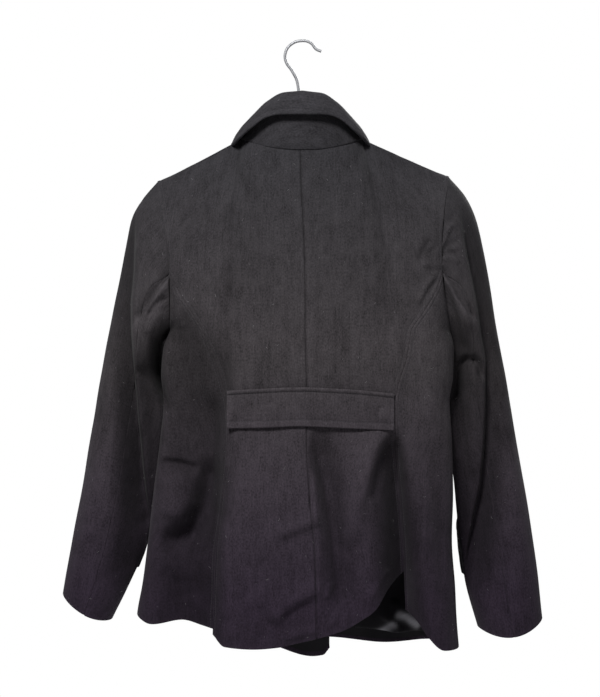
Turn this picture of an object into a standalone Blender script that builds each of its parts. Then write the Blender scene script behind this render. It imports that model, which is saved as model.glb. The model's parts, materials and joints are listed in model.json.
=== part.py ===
"""A double-breasted wool coat hanging on a plain hanger, modelled in metres.

X runs to the wearer's right, Y to the wearer's front and Z up. The origin is the inside top of the
hanger's hook, where a rail bears. Every size in the tables below is in millimetres.
"""

from collections import namedtuple

import bpy
import numpy as np
from mathutils import Vector

MM = 0.001

# Cloth and seams
CLOTH = 3.0
COLLAR_CLOTH = 4.0
BELT_CLOTH = 3.5
LINING_CLOTH = 1.2
SEAM = 0.3
LAYER = 1.2
COLLAR_SEAM = 0.9
SLEEVE_SEAM = 0.3
SHARP_ANGLE = 50.0

# Heights that the panels share
ARMPIT_Z = -406.0
UPPER = 200.0
HEM_TOP = -720.0
LEVEL_ROWS = 11
HEM_ROWS = 4
NUDGE = 0.002
ARMHOLE_STEPS = 12
PRINCESS_STEP = 5
POINT_CUT = 0.25
PRINCESS_BEND = 1.1
SIDE_SPREAD = 0.85

# Body section, shoulders and armholes
CORNERS = 2.6
ROLL = 2.4
EDGE_START = 0.2
ARM_EDGE = 0.45
ARMPIT_LEAN = 0.8
NECK_HALF = 84.0
NECK_DEPTH = 52.0
NECK_BACK_Z = -156.0
NECK_POINT_Z = -136.0
NECK_TURN = 0.4
NECK_RISE = 2.4
NECK_BEND = 2.2
NECK_ROUND = 0.6
TIP = {-1: 204.0, 1: 207.0}
ARMHOLE_DEPTH = 47.0
ARMHOLE_INSET = {-1: 9.0, 1: 10.5}

# Fronts: the right one laps over the left one
LAP = {-1: 40.0, 1: 85.0}
BREAK = 0.21
OVER_LIFT = 4.6
OVER_SWELL = 5.6
SWELL_Z = -292.0
SWELL_REACH = 80.0
LIFT_START = 0.15
LIFT_RUN = 0.3
LIFT_FADE = 4
LAPEL_TOP = 0.71
LAPEL_START = 0.02
LAPEL_WIDTH = 88.0
LAPEL_FOOT = 10.0
LAPEL_DIP = 12.0
LAPEL_FLARE = 0.8

# Collar, belt and buttons
CREST_RADIUS = 6.0
CREST_ANGLES = (180, 135, 90, 45)
STAND_BOW = 1.0
FALL_BOW = 2.5
COLLAR_SPREAD = 0.9
COLLAR_AHEAD = 4.0
COLLAR_EASE = 0.2
COLLAR_SLUMP = {-1: 0.0, 1: 3.5}
BELT_GAP = 1.2
BELT_END = 2.0
BUTTON_SIDES = 16
BUTTON_X = (-58.0, 62.0)
BUTTON_Z = (-392.0, -478.0, -564.0)

# Hanger
WIRE_RADIUS = 2.0
BAR_RADIUS = 6.0
BAR_DROP = 22.0
BAR_X = (182.0, 130.0, 84.0)

Ring = namedtuple("Ring", "z left right back front")
BODY = [
    Ring(-890, 238, 223, 104, 86),
    Ring(-804, 232, 217, 101, 85),
    Ring(-764, 225, 215, 99, 85),
    Ring(-702, 217, 211, 96, 84),
    Ring(-632, 209, 213, 91, 83),
    Ring(-561, 200, 211, 84, 81),
    Ring(-505, 195, 208, 80, 80),
    Ring(-470, 199, 213, 82, 81),
    Ring(-434, 196, 214, 84, 82),
    Ring(-406, 186, 208, 84, 82),
]

Shoulder = namedtuple("Shoulder", "x left_z right_z")
SHOULDER = [
    Shoulder(84, -136, -136),
    Shoulder(108, -148, -147),
    Shoulder(132, -161, -158),
    Shoulder(155, -173, -168),
    Shoulder(178, -185, -178),
    Shoulder(207, -198, -190),
]

Seam = namedtuple("Seam", "z princess_left centre princess_right")
SEAMS = [
    Seam(-830, -123, 19, 144),
    Seam(-722, -120, 17, 142),
    Seam(-640, -111, 10, 136),
    Seam(-557, -101, 6, 128),
    Seam(-516, -104, 6, 126),
    Seam(-484, -109, 6, 131),
    Seam(-446, -121, 5, 143),
    Seam(-406, -138, 4, 150),
    Seam(-297, -178, 1, 190),
    Seam(-156, -178, -5, 190),
]

Hem = namedtuple("Hem", "x z")
HEMS = {
    "side_back_left": [
        Hem(-233, -804),
        Hem(-210, -812),
        Hem(-166, -806),
        Hem(-139, -812),
        Hem(-123, -815),
    ],
    "back_left": [
        Hem(-123, -822),
        Hem(-106, -837),
        Hem(-70, -838),
        Hem(-33, -836),
        Hem(-3, -830),
        Hem(19, -825),
    ],
    "back_right": [
        Hem(19, -825),
        Hem(58, -813),
        Hem(79, -801),
        Hem(99, -788),
        Hem(119, -762),
        Hem(144, -741),
    ],
    "side_back_right": [
        Hem(144, -795),
        Hem(158, -808),
        Hem(174, -830),
        Hem(197, -848),
        Hem(217, -850),
    ],
    "front_left": [
        Hem(-233, -804),
        Hem(-200, -812),
        Hem(-130, -830),
        Hem(-70, -850),
        Hem(-32, -870),
        Hem(15, -882),
        Hem(40, -879),
    ],
    "front_right": [
        Hem(-85, -848),
        Hem(50, -854),
        Hem(108, -859),
        Hem(154, -854),
        Hem(190, -851),
        Hem(217, -850),
    ],
}

Fold = namedtuple("Fold", "x z depth reach")
BACK_FOLDS = {
    "left of the belt": [
        Fold(-120, -486, 0, 12),
        Fold(-121, -540, 7, 14),
        Fold(-126, -610, 16, 17),
        Fold(-131, -655, 22, 20),
        Fold(-152, -684, 21, 21),
        Fold(-188, -708, 9, 18),
    ],
    "left hem hollow": [Fold(-160, -722, 6, 34), Fold(-160, -780, 13, 34), Fold(-152, -840, 15, 30)],
    "left side swell": [Fold(-168, -560, 0, 26), Fold(-168, -628, -6, 30), Fold(-172, -672, 0, 24)],
    "right of the belt": [
        Fold(127, -535, 0, 12),
        Fold(129, -570, 11, 14),
        Fold(133, -620, 22, 17),
        Fold(138, -680, 32, 19),
        Fold(141, -740, 41, 21),
        Fold(143, -800, 46, 22),
        Fold(144, -860, 47, 22),
    ],
    "right ridge": [
        Fold(112, -545, 0, 16),
        Fold(88, -595, -7, 20),
        Fold(78, -650, -7, 24),
        Fold(74, -760, -4, 28),
    ],
    "beside the centre seam": [
        Fold(22, -540, 3, 12),
        Fold(34, -610, 6, 15),
        Fold(46, -690, 4, 18),
        Fold(52, -790, 0, 18),
    ],
    "centre ridge": [
        Fold(20, -590, 0, 9),
        Fold(22, -660, -4, 11),
        Fold(24, -740, -4, 12),
        Fold(30, -840, -2, 14),
    ],
    "left centre": [Fold(-60, -570, 0, 24), Fold(-62, -680, -5, 30), Fold(-64, -840, -7, 34)],
    "left blade": [Fold(-104, -300, 0, 16), Fold(-106, -360, 4, 20), Fold(-100, -440, 0, 18)],
    "right blade": [Fold(112, -300, 0, 16), Fold(116, -370, 4, 20), Fold(112, -450, 0, 18)],
}
FRONT_FOLDS = {
    "right hip": [Fold(128, -560, 0, 20), Fold(134, -680, 9, 26), Fold(140, -860, 16, 30)],
    "left hip": [Fold(-132, -560, 0, 20), Fold(-138, -690, 8, 26), Fold(-144, -860, 15, 30)],
    "right chest": [Fold(126, -300, 0, 18), Fold(122, -370, 5, 22), Fold(116, -470, 0, 20)],
    "left chest": [Fold(-124, -300, 0, 18), Fold(-120, -370, 5, 22), Fold(-112, -470, 0, 20)],
    "lower edge": [Fold(-40, -660, 0, 26), Fold(-44, -760, -4, 32), Fold(-46, -860, -6, 36)],
}
SIDE_FADE = 0.3

# Sleeve sections from the armhole to the cuff: the outer and the inner edge, and the half depths
Sleeve = namedtuple("Sleeve", "outer_x outer_z inner_x inner_z back front inset ahead sag")
SLEEVES = {
    -1: [
        Sleeve(204, -197, 186, -406, 47, 47, 9, 0, 0),
        Sleeve(225, -221, 190.5, -413, 50, 50, 5, 4, 0),
        Sleeve(241, -249, 195, -421, 53, 53, 2, 11, 0),
        Sleeve(251, -293, 198, -438, 55, 55, 0, 17, 0),
        Sleeve(263, -350, 199, -462, 56, 56, 0, 24, 0),
        Sleeve(275, -406, 196.5, -494, 55, 56, 0, 29, 0),
        Sleeve(286, -462, 196.5, -532, 54, 55, 0, 33, 0),
        Sleeve(296, -519, 199, -572, 52, 54, 0, 36, 0),
        Sleeve(306, -575, 204, -617, 51, 53, 0, 38, 0),
        Sleeve(315, -632, 210, -664, 49, 52, 0, 40, 0),
        Sleeve(326, -688, 219, -713, 47, 51, 0, 41, 0),
        Sleeve(335, -738, 242, -758, 45, 49, 0, 42, 2),
        Sleeve(343, -783, 272, -820, 43, 47, 0, 42, 7),
    ],
    1: [
        Sleeve(207, -190, 208, -406, 47, 47, 10.5, 0, 0),
        Sleeve(230, -217, 212, -413, 50, 50, 6, 4, 0),
        Sleeve(246, -250, 215, -422, 53, 53, 2.5, 11, 0),
        Sleeve(257, -293, 215.5, -438, 55, 55, 0, 17, 0),
        Sleeve(268, -350, 214.5, -464, 56, 56, 0, 24, 0),
        Sleeve(278, -406, 211, -496, 55, 56, 0, 29, 0),
        Sleeve(289, -462, 210, -534, 54, 55, 0, 33, 0),
        Sleeve(299, -519, 211, -576, 52, 54, 0, 36, 0),
        Sleeve(309, -575, 214, -618, 51, 53, 0, 38, 0),
        Sleeve(319, -632, 221, -664, 49, 52, 0, 40, 0),
        Sleeve(328, -688, 226, -712, 47, 51, 0, 41, 0),
        Sleeve(337, -748, 233, -762, 46, 50, 0, 42, 5),
        Sleeve(345, -818, 252, -831, 45, 49, 0, 42, 15),
    ],
}
SLEEVE_ROWS = [0, 1, 2, 3] + [3 + 0.75 * step for step in range(1, 13)]
UPPER_ANGLES = (-120, 105)
UNDER_ANGLES = (105, 240)
HIND_SHIFT = 15.0
HIND_ROWS = 4
SLEEVE_FOLDS = {
    -1: {
        "long trough": [
            Fold(-238, -262, 0, 12),
            Fold(-245, -330, 11, 14),
            Fold(-248, -420, 13, 15),
            Fold(-251, -510, 12, 15),
            Fold(-249, -590, 8, 15),
            Fold(-242, -650, 0, 15),
        ],
        "elbow": [Fold(-300, -500, 0, 14), Fold(-286, -530, 5, 16), Fold(-262, -556, 0, 14)],
        "wrist": [Fold(-262, -690, 0, 16), Fold(-276, -730, -4, 18), Fold(-296, -770, 0, 16)],
    },
    1: {
        "long trough": [
            Fold(226, -240, 0, 12),
            Fold(240, -328, 11, 14),
            Fold(254, -420, 13, 15),
            Fold(259, -510, 12, 15),
            Fold(256, -600, 9, 15),
            Fold(246, -690, 0, 15),
        ],
        "elbow": [Fold(306, -530, 0, 14), Fold(290, -560, 5, 16), Fold(266, -582, 0, 14)],
        "wrist": [Fold(252, -720, 0, 16), Fold(276, -752, -4, 18), Fold(308, -778, 0, 16)],
    },
}
SLEEVE_FRONT_FOLDS = {
    -1: {"bend": [Fold(-222, -440, 0, 14), Fold(-244, -490, 8, 16), Fold(-276, -520, 0, 16)]},
    1: {"bend": [Fold(236, -440, 0, 14), Fold(254, -500, 8, 16), Fold(286, -530, 0, 16)]},
}

# Collar sections from the centre back to the front end, measured from the neck seam
Collar = namedtuple("Collar", "along facing stand lean reach drop forward")
COLLAR = [
    Collar(0.0, 0, 76, 3, 22, 29, 0),
    Collar(0.1, 16, 72.5, 4, 22, 26, 0),
    Collar(0.2, 32, 60, 6, 22, 20, 0),
    Collar(0.3, 50, 41, 9, 24, 18, 0),
    Collar(0.4, 66, 26, 10.5, 25, 17, 0),
    Collar(0.5, 78, 17, 12, 26, 17.5, 1),
    Collar(0.6, 84, 13.6, 12, 27, 17, 2),
    Collar(0.8, 92, 12, 4, 42, 22, 8),
    Collar(1.0, 92, 9, 0, 60, 20, 5),
]
COLLAR_NECK = 0.6
COLLAR_STATIONS = 12
GORGE = 0.74

Belt = namedtuple("Belt", "x top bottom")
BELT = [
    Belt(-103, -491, -540),
    Belt(-55, -488, -539),
    Belt(-3, -486, -537),
    Belt(65, -489, -540),
    Belt(126, -495, -543),
]
BELT_COLUMNS = 14

# Profile of a button from the middle of its back to the middle of its face
Turned = namedtuple("Turned", "radius out")
BUTTON = [
    Turned(0, 0.6),
    Turned(10.5, 0.6),
    Turned(12.5, 2.2),
    Turned(11.9, 4.0),
    Turned(9.9, 4.4),
    Turned(8.3, 3.4),
    Turned(0, 3.2),
]

# Loose fold of the lining inside the right front
LINING_X = 78.0
LINING_WIDTH = 96.0
LINING_Z = -838.0
LINING_HEIGHT = 96.0
LINING_GAP = 5.2
LINING_PUFF = 20.0
PUFF_PLACE = 0.55
PUFF_REACH = 0.28
PUFF_FADE = 1.5

# Centre line of the hook's wire, from the bar up to the tip
Wire = namedtuple("Wire", "x z")
HOOK = [
    Wire(-7, -121.5),
    Wire(-7, -56),
    Wire(-14, -41),
    Wire(-23, -27),
    Wire(-23.5, -15),
    Wire(-16, -3.5),
    Wire(0, 2),
    Wire(12, -1),
    Wire(20, -10),
    Wire(27, -13),
]


def column(table, name):
    return np.array([getattr(row, name) for row in table], float)


def smooth(at, xs, ys):
    """Monotone cubic curve through points whose xs rise, held level past both ends."""
    step = np.diff(xs)
    slope = np.diff(ys) / step
    product = slope[:-1] * slope[1:]
    total = np.where(product > 0, slope[:-1] + slope[1:], 1)
    tangent = np.concatenate([slope[:1], np.where(product > 0, 2 * product / total, 0), slope[-1:]])
    at = np.clip(at, xs[0], xs[-1])
    i = np.clip(np.searchsorted(xs, at, side="right") - 1, 0, len(step) - 1)
    t = (at - xs[i]) / step[i]
    start = (1 + 2 * t) * (1 - t) ** 2 * ys[i] + t * (1 - t) ** 2 * step[i] * tangent[i]
    return start + t * t * (3 - 2 * t) * ys[i + 1] - t * t * (1 - t) * step[i] * tangent[i + 1]


def read(table, at, name):
    """One column of a table at places given in its first column."""
    return smooth(at, column(table, table[0]._fields[0]), column(table, name))


def ease(value):
    value = np.clip(value, 0, 1)
    return value * value * (3 - 2 * value)


def unit(vectors):
    return vectors / np.maximum(np.linalg.norm(vectors, axis=-1, keepdims=True), 1e-9)


def fold_depth(folds, x, z):
    """How far the folds push the cloth inwards at a place of the back or front view."""
    total = np.zeros(np.broadcast(x, z).shape)
    for rows in folds.values():
        deepest = np.zeros(total.shape)
        for a, b in zip(rows, rows[1:]):
            run = np.array([b.x - a.x, b.z - a.z])
            t = np.clip(((x - a.x) * run[0] + (z - a.z) * run[1]) / (run @ run), 0, 1)
            away = np.hypot(x - a.x - t * run[0], z - a.z - t * run[1])
            depth = a.depth + (b.depth - a.depth) * t
            value = depth * np.exp(-((away / (a.reach + (b.reach - a.reach) * t)) ** 2))
            deepest = np.where(np.abs(value) > np.abs(deepest), value, deepest)
        total = total + deepest
    return total


def ring(turn, z):
    """Outside of the body: turn 0 is the centre back, 1 and -1 the sides, 2 and -2 the centre front."""
    angle = np.asarray(turn) * np.pi / 2
    across, deep = np.sin(angle), np.cos(angle)
    width = np.where(across >= 0, read(BODY, z, "right"), read(BODY, z, "left"))
    depth = np.where(deep >= 0, read(BODY, z, "back"), read(BODY, z, "front"))
    x = width * np.sign(across) * np.abs(across) ** (2 / CORNERS)
    y = -depth * np.sign(deep) * np.abs(deep) ** (2 / CORNERS)
    return x, y


def turn_of(x, z):
    """The ring's turn on the back half at a place across."""
    width = np.where(x >= 0, read(BODY, z, "right"), read(BODY, z, "left"))
    share = np.clip(np.abs(x) / width, 0, 1) ** (CORNERS / 2)
    return np.sign(x) * np.arcsin(share) * 2 / np.pi


def shoulder_z(x):
    left = read(SHOULDER, np.abs(x), "left_z")
    return np.where(x < 0, left, read(SHOULDER, np.abs(x), "right_z"))


def neck_line(turn):
    """Top edge of the back: the neck curve, then the shoulder seam out to the sleeve."""
    out = np.abs(turn)
    tip = np.where(turn < 0, TIP[-1], TIP[1])
    beyond = NECK_HALF + (tip - NECK_HALF) * (out - NECK_TURN) / (1 - NECK_TURN)
    x = np.sign(turn) * np.where(out < NECK_TURN, NECK_HALF * out / NECK_TURN, beyond)
    share = np.clip(out / NECK_TURN, 0, 1)
    neck_z = NECK_BACK_Z + (NECK_POINT_Z - NECK_BACK_Z) * share**NECK_RISE
    y = -NECK_DEPTH * np.clip(1 - share**NECK_BEND, 0, 1) ** NECK_ROUND
    return x, y, np.where(out < NECK_TURN, neck_z, shoulder_z(x))


def rise_of(height):
    return np.clip((height - ARMPIT_Z) / UPPER, 0, 1)


def back(turn, height):
    """Outside of the back: height is z up to the armpit, then runs on to the shoulder seam."""
    low_z = np.minimum(height, ARMPIT_Z)
    x, y = ring(turn, low_z)
    top_x, top_y, top_z = neck_line(turn)
    rise = rise_of(height)
    edge = np.clip((np.abs(turn) - EDGE_START) / (1 - EDGE_START), 0, 1) ** 2
    bow = 2 * np.sqrt(rise * (1 - rise))
    inset = np.where(turn < 0, ARMHOLE_INSET[-1], ARMHOLE_INSET[1])
    x = x + (top_x - x) * rise - np.sign(turn) * inset * bow**2 * edge
    y = y + (top_y - y) * rise**ROLL - ARMHOLE_DEPTH * edge * bow ** (3 - 2 * edge)
    z = low_z + (top_z - low_z) * rise
    y = y + fold_depth(BACK_FOLDS, x, z) * ease((1 - np.abs(turn)) / SIDE_FADE)
    return np.stack([x, y, z], -1)


def front(side, part, height):
    """Outside of a front: part 0 is the side seam and armhole, 1 the front edge and the roll line."""
    low_z = np.minimum(height, ARMPIT_Z)
    other = read(BODY, low_z, "left" if side > 0 else "right")
    reach = 2 + np.arcsin((LAP[side] / other) ** (CORNERS / 2)) * 2 / np.pi
    x, y = ring(side * (1 + part * (reach - 1)), low_z)
    rise = rise_of(height)
    top_x = side * (TIP[side] + part * (NECK_HALF - TIP[side]))
    bow = 2 * np.sqrt(rise * (1 - rise))
    roll = np.clip((rise - BREAK) / (1 - BREAK), 0, 1) - rise
    x = x + (top_x - x) * rise + (NECK_HALF + LAP[side]) * side * roll * part
    wide = np.where(x > 0, read(BODY, low_z, "right"), read(BODY, low_z, "left"))
    share = np.clip(np.abs(x) / (wide + (TIP[side] - wide) * rise), 0, 1)
    chest = (1 - share**CORNERS) ** (1 / CORNERS) * read(BODY, low_z, "front")
    edge = np.clip((share * np.sign(x * side) - ARM_EDGE) / (1 - ARM_EDGE), 0, 1) ** 2
    x = x - side * ARMHOLE_INSET[side] * bow**2 * edge
    y = np.where(rise > 0, chest, y) * (1 - rise**ROLL) + ARMHOLE_DEPTH * edge * bow ** (3 - 2 * edge)
    z = low_z + (shoulder_z(top_x) - low_z) * rise
    if side > 0:
        swell = OVER_SWELL * np.exp(-(((z - SWELL_Z) / SWELL_REACH) ** 2))
        lift = ease((part - LIFT_START) / LIFT_RUN) * (1 - rise**LIFT_FADE)
        y = y + (OVER_LIFT + swell) * lift
    y = y - fold_depth(FRONT_FOLDS, x, z) * ease(part / SIDE_FADE) * (1 - rise)
    return np.stack([x, y, z], -1)


def princess(side):
    """Turn of a princess seam at a height: up from the hem, then out to the armhole."""
    top = (1 - np.cos(np.pi * PRINCESS_STEP / ARMHOLE_STEPS)) / 2
    name = "princess_left" if side < 0 else "princess_right"

    def turn(height):
        low = np.minimum(height, ARMPIT_Z)
        start = turn_of(read(SEAMS, low, name), low)
        return start + (side - start) * np.clip(rise_of(height) / top, 0, 1) ** PRINCESS_BEND

    return turn


def centre_seam(height):
    low = np.minimum(height, ARMPIT_Z)
    x = read(SEAMS, height, "centre")
    start = turn_of(x, low)
    return start + (x / NECK_HALF * NECK_TURN - start) * rise_of(height)


def side_seam(side):
    return lambda height: side * np.ones_like(height)


UPPER_HEIGHTS = [
    ARMPIT_Z + UPPER * (1 - np.cos(np.pi * step / ARMHOLE_STEPS)) / 2 for step in range(1, ARMHOLE_STEPS + 1)
]
HEIGHTS = list(np.linspace(HEM_TOP, ARMPIT_Z, LEVEL_ROWS + 1)) + UPPER_HEIGHTS
ARMPIT_ROW = HEM_ROWS + LEVEL_ROWS
PRINCESS_ROW = ARMPIT_ROW + PRINCESS_STEP
TOP_ROW = ARMPIT_ROW + ARMHOLE_STEPS


def height_of(row, hem):
    """Height of a row of points: the lowest rows follow the hem, the rest are shared by all panels."""
    level = np.interp(row - HEM_ROWS, np.arange(len(HEIGHTS)), HEIGHTS)
    return np.where(row < HEM_ROWS, hem + (HEM_TOP - hem) * row / HEM_ROWS, level)


def hem_of(name, x):
    return read(HEMS[name], x, "z")


def back_point(name, from_seam, to_seam):
    def point(row, col):
        height = height_of(row, hem_of(name, 0 * col))
        for _ in range(3):
            start, end = from_seam(height), to_seam(height)
            turn = start + (end - start) * col
            height = height_of(row, hem_of(name, ring(turn, np.minimum(height, ARMPIT_Z))[0]))
        return back(turn, height)

    return point


def front_point(name, side):
    def point(row, col):
        height = height_of(row, hem_of(name, 0 * col))
        for _ in range(3):
            height = height_of(row, hem_of(name, front(side, col, np.minimum(height, ARMPIT_Z))[..., 0]))
        return front(side, col, height)

    return point


def sample(point, rows, cols, outward, plain=None):
    """Points and outward normals on a grid of rows and columns; plain is the surface without its folds."""
    row, col = np.meshgrid(np.asarray(rows, float), np.asarray(cols, float), indexing="ij")
    nudge = (cols[-1] - cols[0]) * NUDGE
    over = nudge if plain else 0
    base = plain or point
    after = np.minimum(col + nudge, cols[-1] + over)
    before = np.maximum(col - nudge, cols[0] - over)
    along = base(row, after) - base(row, before)
    up = base(np.minimum(row + NUDGE, rows[-1]), col) - base(np.maximum(row - NUDGE, rows[0]), col)
    normal = unit(np.cross(along, up))
    points = point(row, col)
    facing = np.sum(normal * (points - np.asarray(outward)), axis=-1)
    return points, normal * np.sign(np.sum(facing))


def trim(points, low_row=0.0, high_row=0.0, low_col=0.0, high_col=0.0):
    """Pulls the borders of a grid back along the cloth."""
    points = points.copy()
    points[0] += unit(points[1] - points[0]) * low_row
    points[-1] += unit(points[-2] - points[-1]) * high_row
    points[:, 0] += unit(points[:, 1] - points[:, 0]) * low_col
    points[:, -1] += unit(points[:, -2] - points[:, -1]) * high_col
    return points


def material(name, color, roughness, metallic=0.0):
    made = bpy.data.materials.new(name)
    made.use_nodes = True
    shader = made.node_tree.nodes["Principled BSDF"]
    shader.inputs["Base Color"].default_value = (*color, 1)
    shader.inputs["Roughness"].default_value = roughness
    shader.inputs["Metallic"].default_value = metallic
    return made


def add_mesh(name, points, faces, made_of):
    """A mesh object from points in millimetres, its faces turned to point out."""
    corners = np.asarray(points)
    volume = 0.0
    for face in faces:
        for second, third in zip(face[1:], face[2:]):
            volume += np.dot(corners[face[0]], np.cross(corners[second], corners[third]))
    if volume < 0:
        faces = [face[::-1] for face in faces]
    mesh = bpy.data.meshes.new(name)
    mesh.from_pydata((corners * MM).tolist(), [], [tuple(int(i) for i in face) for face in faces])
    mesh.materials.append(made_of)
    mesh.shade_smooth()
    mesh.set_sharp_from_angle(angle=np.radians(SHARP_ANGLE))
    made = bpy.data.objects.new(name, mesh)
    bpy.context.scene.collection.objects.link(made)
    return made


def wall(name, outer, inner, made_of):
    """A closed wall between an outer and an inner grid of points."""
    rows, cols = outer.shape[:2]
    index = np.arange(rows * cols).reshape(rows, cols)
    count = rows * cols
    quads = np.stack([index[:-1, :-1], index[:-1, 1:], index[1:, 1:], index[1:, :-1]], -1).reshape(-1, 4)
    border = [*index[0], *index[1:, -1], *index[-1, -2::-1], *index[-2:0:-1, 0]]
    faces = [tuple(quad) for quad in quads]
    faces += [tuple(count + quad[::-1]) for quad in quads]
    faces += [(b, a, count + a, count + b) for a, b in zip(border, border[1:] + border[:1])]
    points = np.concatenate([outer.reshape(-1, 3), inner.reshape(-1, 3)])
    return add_mesh(name, points, faces, made_of)


def armhole_normals(side, angles, lean=0.0):
    """Thickness direction round an armhole; the body's leans outwards towards the armpit."""
    top = SLEEVES[side][0]
    axis = np.array([side * (top.outer_x - top.inner_x), 0, top.outer_z - top.inner_z]) / 2
    half = np.linalg.norm(axis)
    angles = np.radians(np.asarray(angles, float))[:, None]
    square = np.cos(angles) / half * axis / half + np.sin(angles) / ARMHOLE_DEPTH * np.array([0, -1.0, 0])
    outward = np.array([side, 0, 0]) * np.clip(-np.cos(angles), 0, 1)
    return unit(unit(square) + outward * lean)


def shoulder_normals(points):
    """Thickness direction along a shoulder seam: square to the seam, with no lean to back or front."""
    run = np.gradient(points, axis=0)
    up = np.stack([-run[:, 2], np.zeros(len(run)), run[:, 0]], -1)
    return unit(up * np.sign(up[:, 2:]))


def armhole_angles(rows):
    return [180 - 180 * (row - ARMPIT_ROW) / ARMHOLE_STEPS for row in rows]


def make_back(name, side, made_of):
    """One half of the back, from the centre seam to the princess seam and the armhole."""
    turn = float(centre_seam(np.array(HEIGHTS[-1])))
    neck = (side * NECK_TURN - turn) / (side - turn)
    cols = np.concatenate([np.linspace(0, neck, 5), np.linspace(neck, 1, 8)[1:]])
    rows = np.arange(TOP_ROW + 1)
    points, normals = sample(back_point(name, centre_seam, princess(side)), rows, cols, (0, 0, -450))
    arm_rows = rows[PRINCESS_ROW:]
    normals[PRINCESS_ROW:, -1] = armhole_normals(side, armhole_angles(arm_rows), ARMPIT_LEAN)
    normals[-1, 4:] = shoulder_normals(points[-1, 4:])
    points = trim(points, high_row=SEAM / 2, low_col=SEAM / 2, high_col=SEAM / 2)
    wall(name, points, points - normals * CLOTH, made_of)


def make_side_back(name, side, made_of):
    rows = np.arange(PRINCESS_ROW + 1)
    cols = 1 - (1 - np.linspace(0, 1, 9)) ** SIDE_SPREAD
    points, normals = sample(back_point(name, princess(side), side_seam(side)), rows, cols, (0, 0, -450))
    normals[ARMPIT_ROW:, -1] = armhole_normals(side, armhole_angles(rows[ARMPIT_ROW:]), ARMPIT_LEAN)
    normals[-1] = normals[-1, -1]
    points[-1] += (points[-2] - points[-1]) * POINT_CUT
    normals[-1] = unit(normals[-1] + (normals[-2] - normals[-1]) * POINT_CUT)
    points = trim(points, high_row=SEAM / 2, low_col=SEAM / 2, high_col=SEAM / 2)
    wall(name, points, points - normals * CLOTH, made_of)


def make_front(name, side, made_of):
    rows = np.arange(TOP_ROW + 1)
    cols = np.linspace(0, 1, 13)
    points, normals = sample(front_point(name, side), rows, cols, (0, 0, -450))
    angles = [-angle for angle in armhole_angles(rows[ARMPIT_ROW:])]
    normals[ARMPIT_ROW:, 0] = armhole_normals(side, angles, ARMPIT_LEAN)
    normals[-1] = shoulder_normals(points[-1])
    points = trim(points, high_row=SEAM / 2, low_col=SEAM / 2)
    wall(name, points, points - normals * CLOTH, made_of)


def make_lapel(name, side, made_of):
    """Cloth turned out along the roll line, made from the front's own points moved out."""
    low, high = BREAK + LAPEL_START, LAPEL_TOP

    def point(row, col):
        rise = low + (high - low) * row
        height = ARMPIT_Z + UPPER * rise
        length = np.linalg.norm(front(side, 0 * col, height) - front(side, 0 * col + 1, height), axis=-1)
        width = LAPEL_FOOT + (LAPEL_WIDTH - LAPEL_FOOT) * row**LAPEL_FLARE
        return front(side, 1 - col * width / length, height - LAPEL_DIP * row * col)

    points, normals = sample(point, np.linspace(0, 1, 9), np.linspace(0, 1, 6), (0, 0, -300))
    inner = points + normals * LAYER
    wall(name, inner + normals * CLOTH, inner, made_of)


def sleeve(side, row, angle, folded=True):
    """Outside of a sleeve: angle 0 is its outer edge, 90 the back, 180 the underarm, 270 the front."""
    table = SLEEVES[side]
    places = np.arange(len(table), dtype=float)
    outer_x, outer_z, inner_x, inner_z, behind, before, inset, ahead, sag = (
        smooth(row, places, column(table, name)) for name in Sleeve._fields
    )
    turn = np.radians(angle)
    share = (1 + np.cos(turn)) / 2
    across = np.sin(turn)
    x = side * (inner_x + (outer_x - inner_x) * share - inset * across**2)
    z = inner_z + (outer_z - inner_z) * share - sag * across**2
    y = ahead - np.where(across > 0, behind, before) * across
    if folded:
        y = y + fold_depth(SLEEVE_FOLDS[side], x, z) * np.sqrt(np.clip(across, 0, 1))
        y = y - fold_depth(SLEEVE_FRONT_FOLDS[side], x, z) * np.sqrt(np.clip(-across, 0, 1))
    return np.stack([x, y, z], -1)


def make_sleeve_piece(name, side, angles, made_of):
    """Part of a sleeve between its two seams; the hind one moves back below the armhole."""
    first, last = angles

    def point(row, col, folded=True):
        shift = HIND_SHIFT * ease(row / HIND_ROWS)
        start = first - shift * (first == UNDER_ANGLES[0])
        end = last - shift * (last == UPPER_ANGLES[1])
        return sleeve(side, row, start + (end - start) * col, folded)

    def plain(row, col):
        return point(row, col, False)

    cols = np.linspace(0, 1, round((last - first) * ARMHOLE_STEPS / 180) + 1)
    points, normals = sample(point, SLEEVE_ROWS, cols, (side * 260, 0, -500), plain)
    normals[0] = armhole_normals(side, first + (last - first) * cols)
    points[0, :, 0] += side * SEAM
    points = trim(points, low_col=SLEEVE_SEAM, high_col=SLEEVE_SEAM)
    wall(name, points, points - normals * CLOTH, made_of)


def roll_line(side, rise):
    return front(side, np.ones_like(rise), ARMPIT_Z + UPPER * rise)


def collar_seam(side, along):
    """The neck seam from the centre back round to where the collar ends on the roll line."""
    on_neck = np.clip(along / COLLAR_NECK, 0, 1)
    on_front = np.clip((along - COLLAR_NECK) / (1 - COLLAR_NECK), 0, 1)
    turn = np.sin(on_neck * np.pi / 2) ** COLLAR_SPREAD
    neck = np.stack(neck_line(side * NECK_TURN * turn + 1e-6 * side), -1)
    ahead = roll_line(side, 1 - (1 - GORGE) * on_front)
    return np.where((along < COLLAR_NECK)[:, None], neck, ahead)


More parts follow.
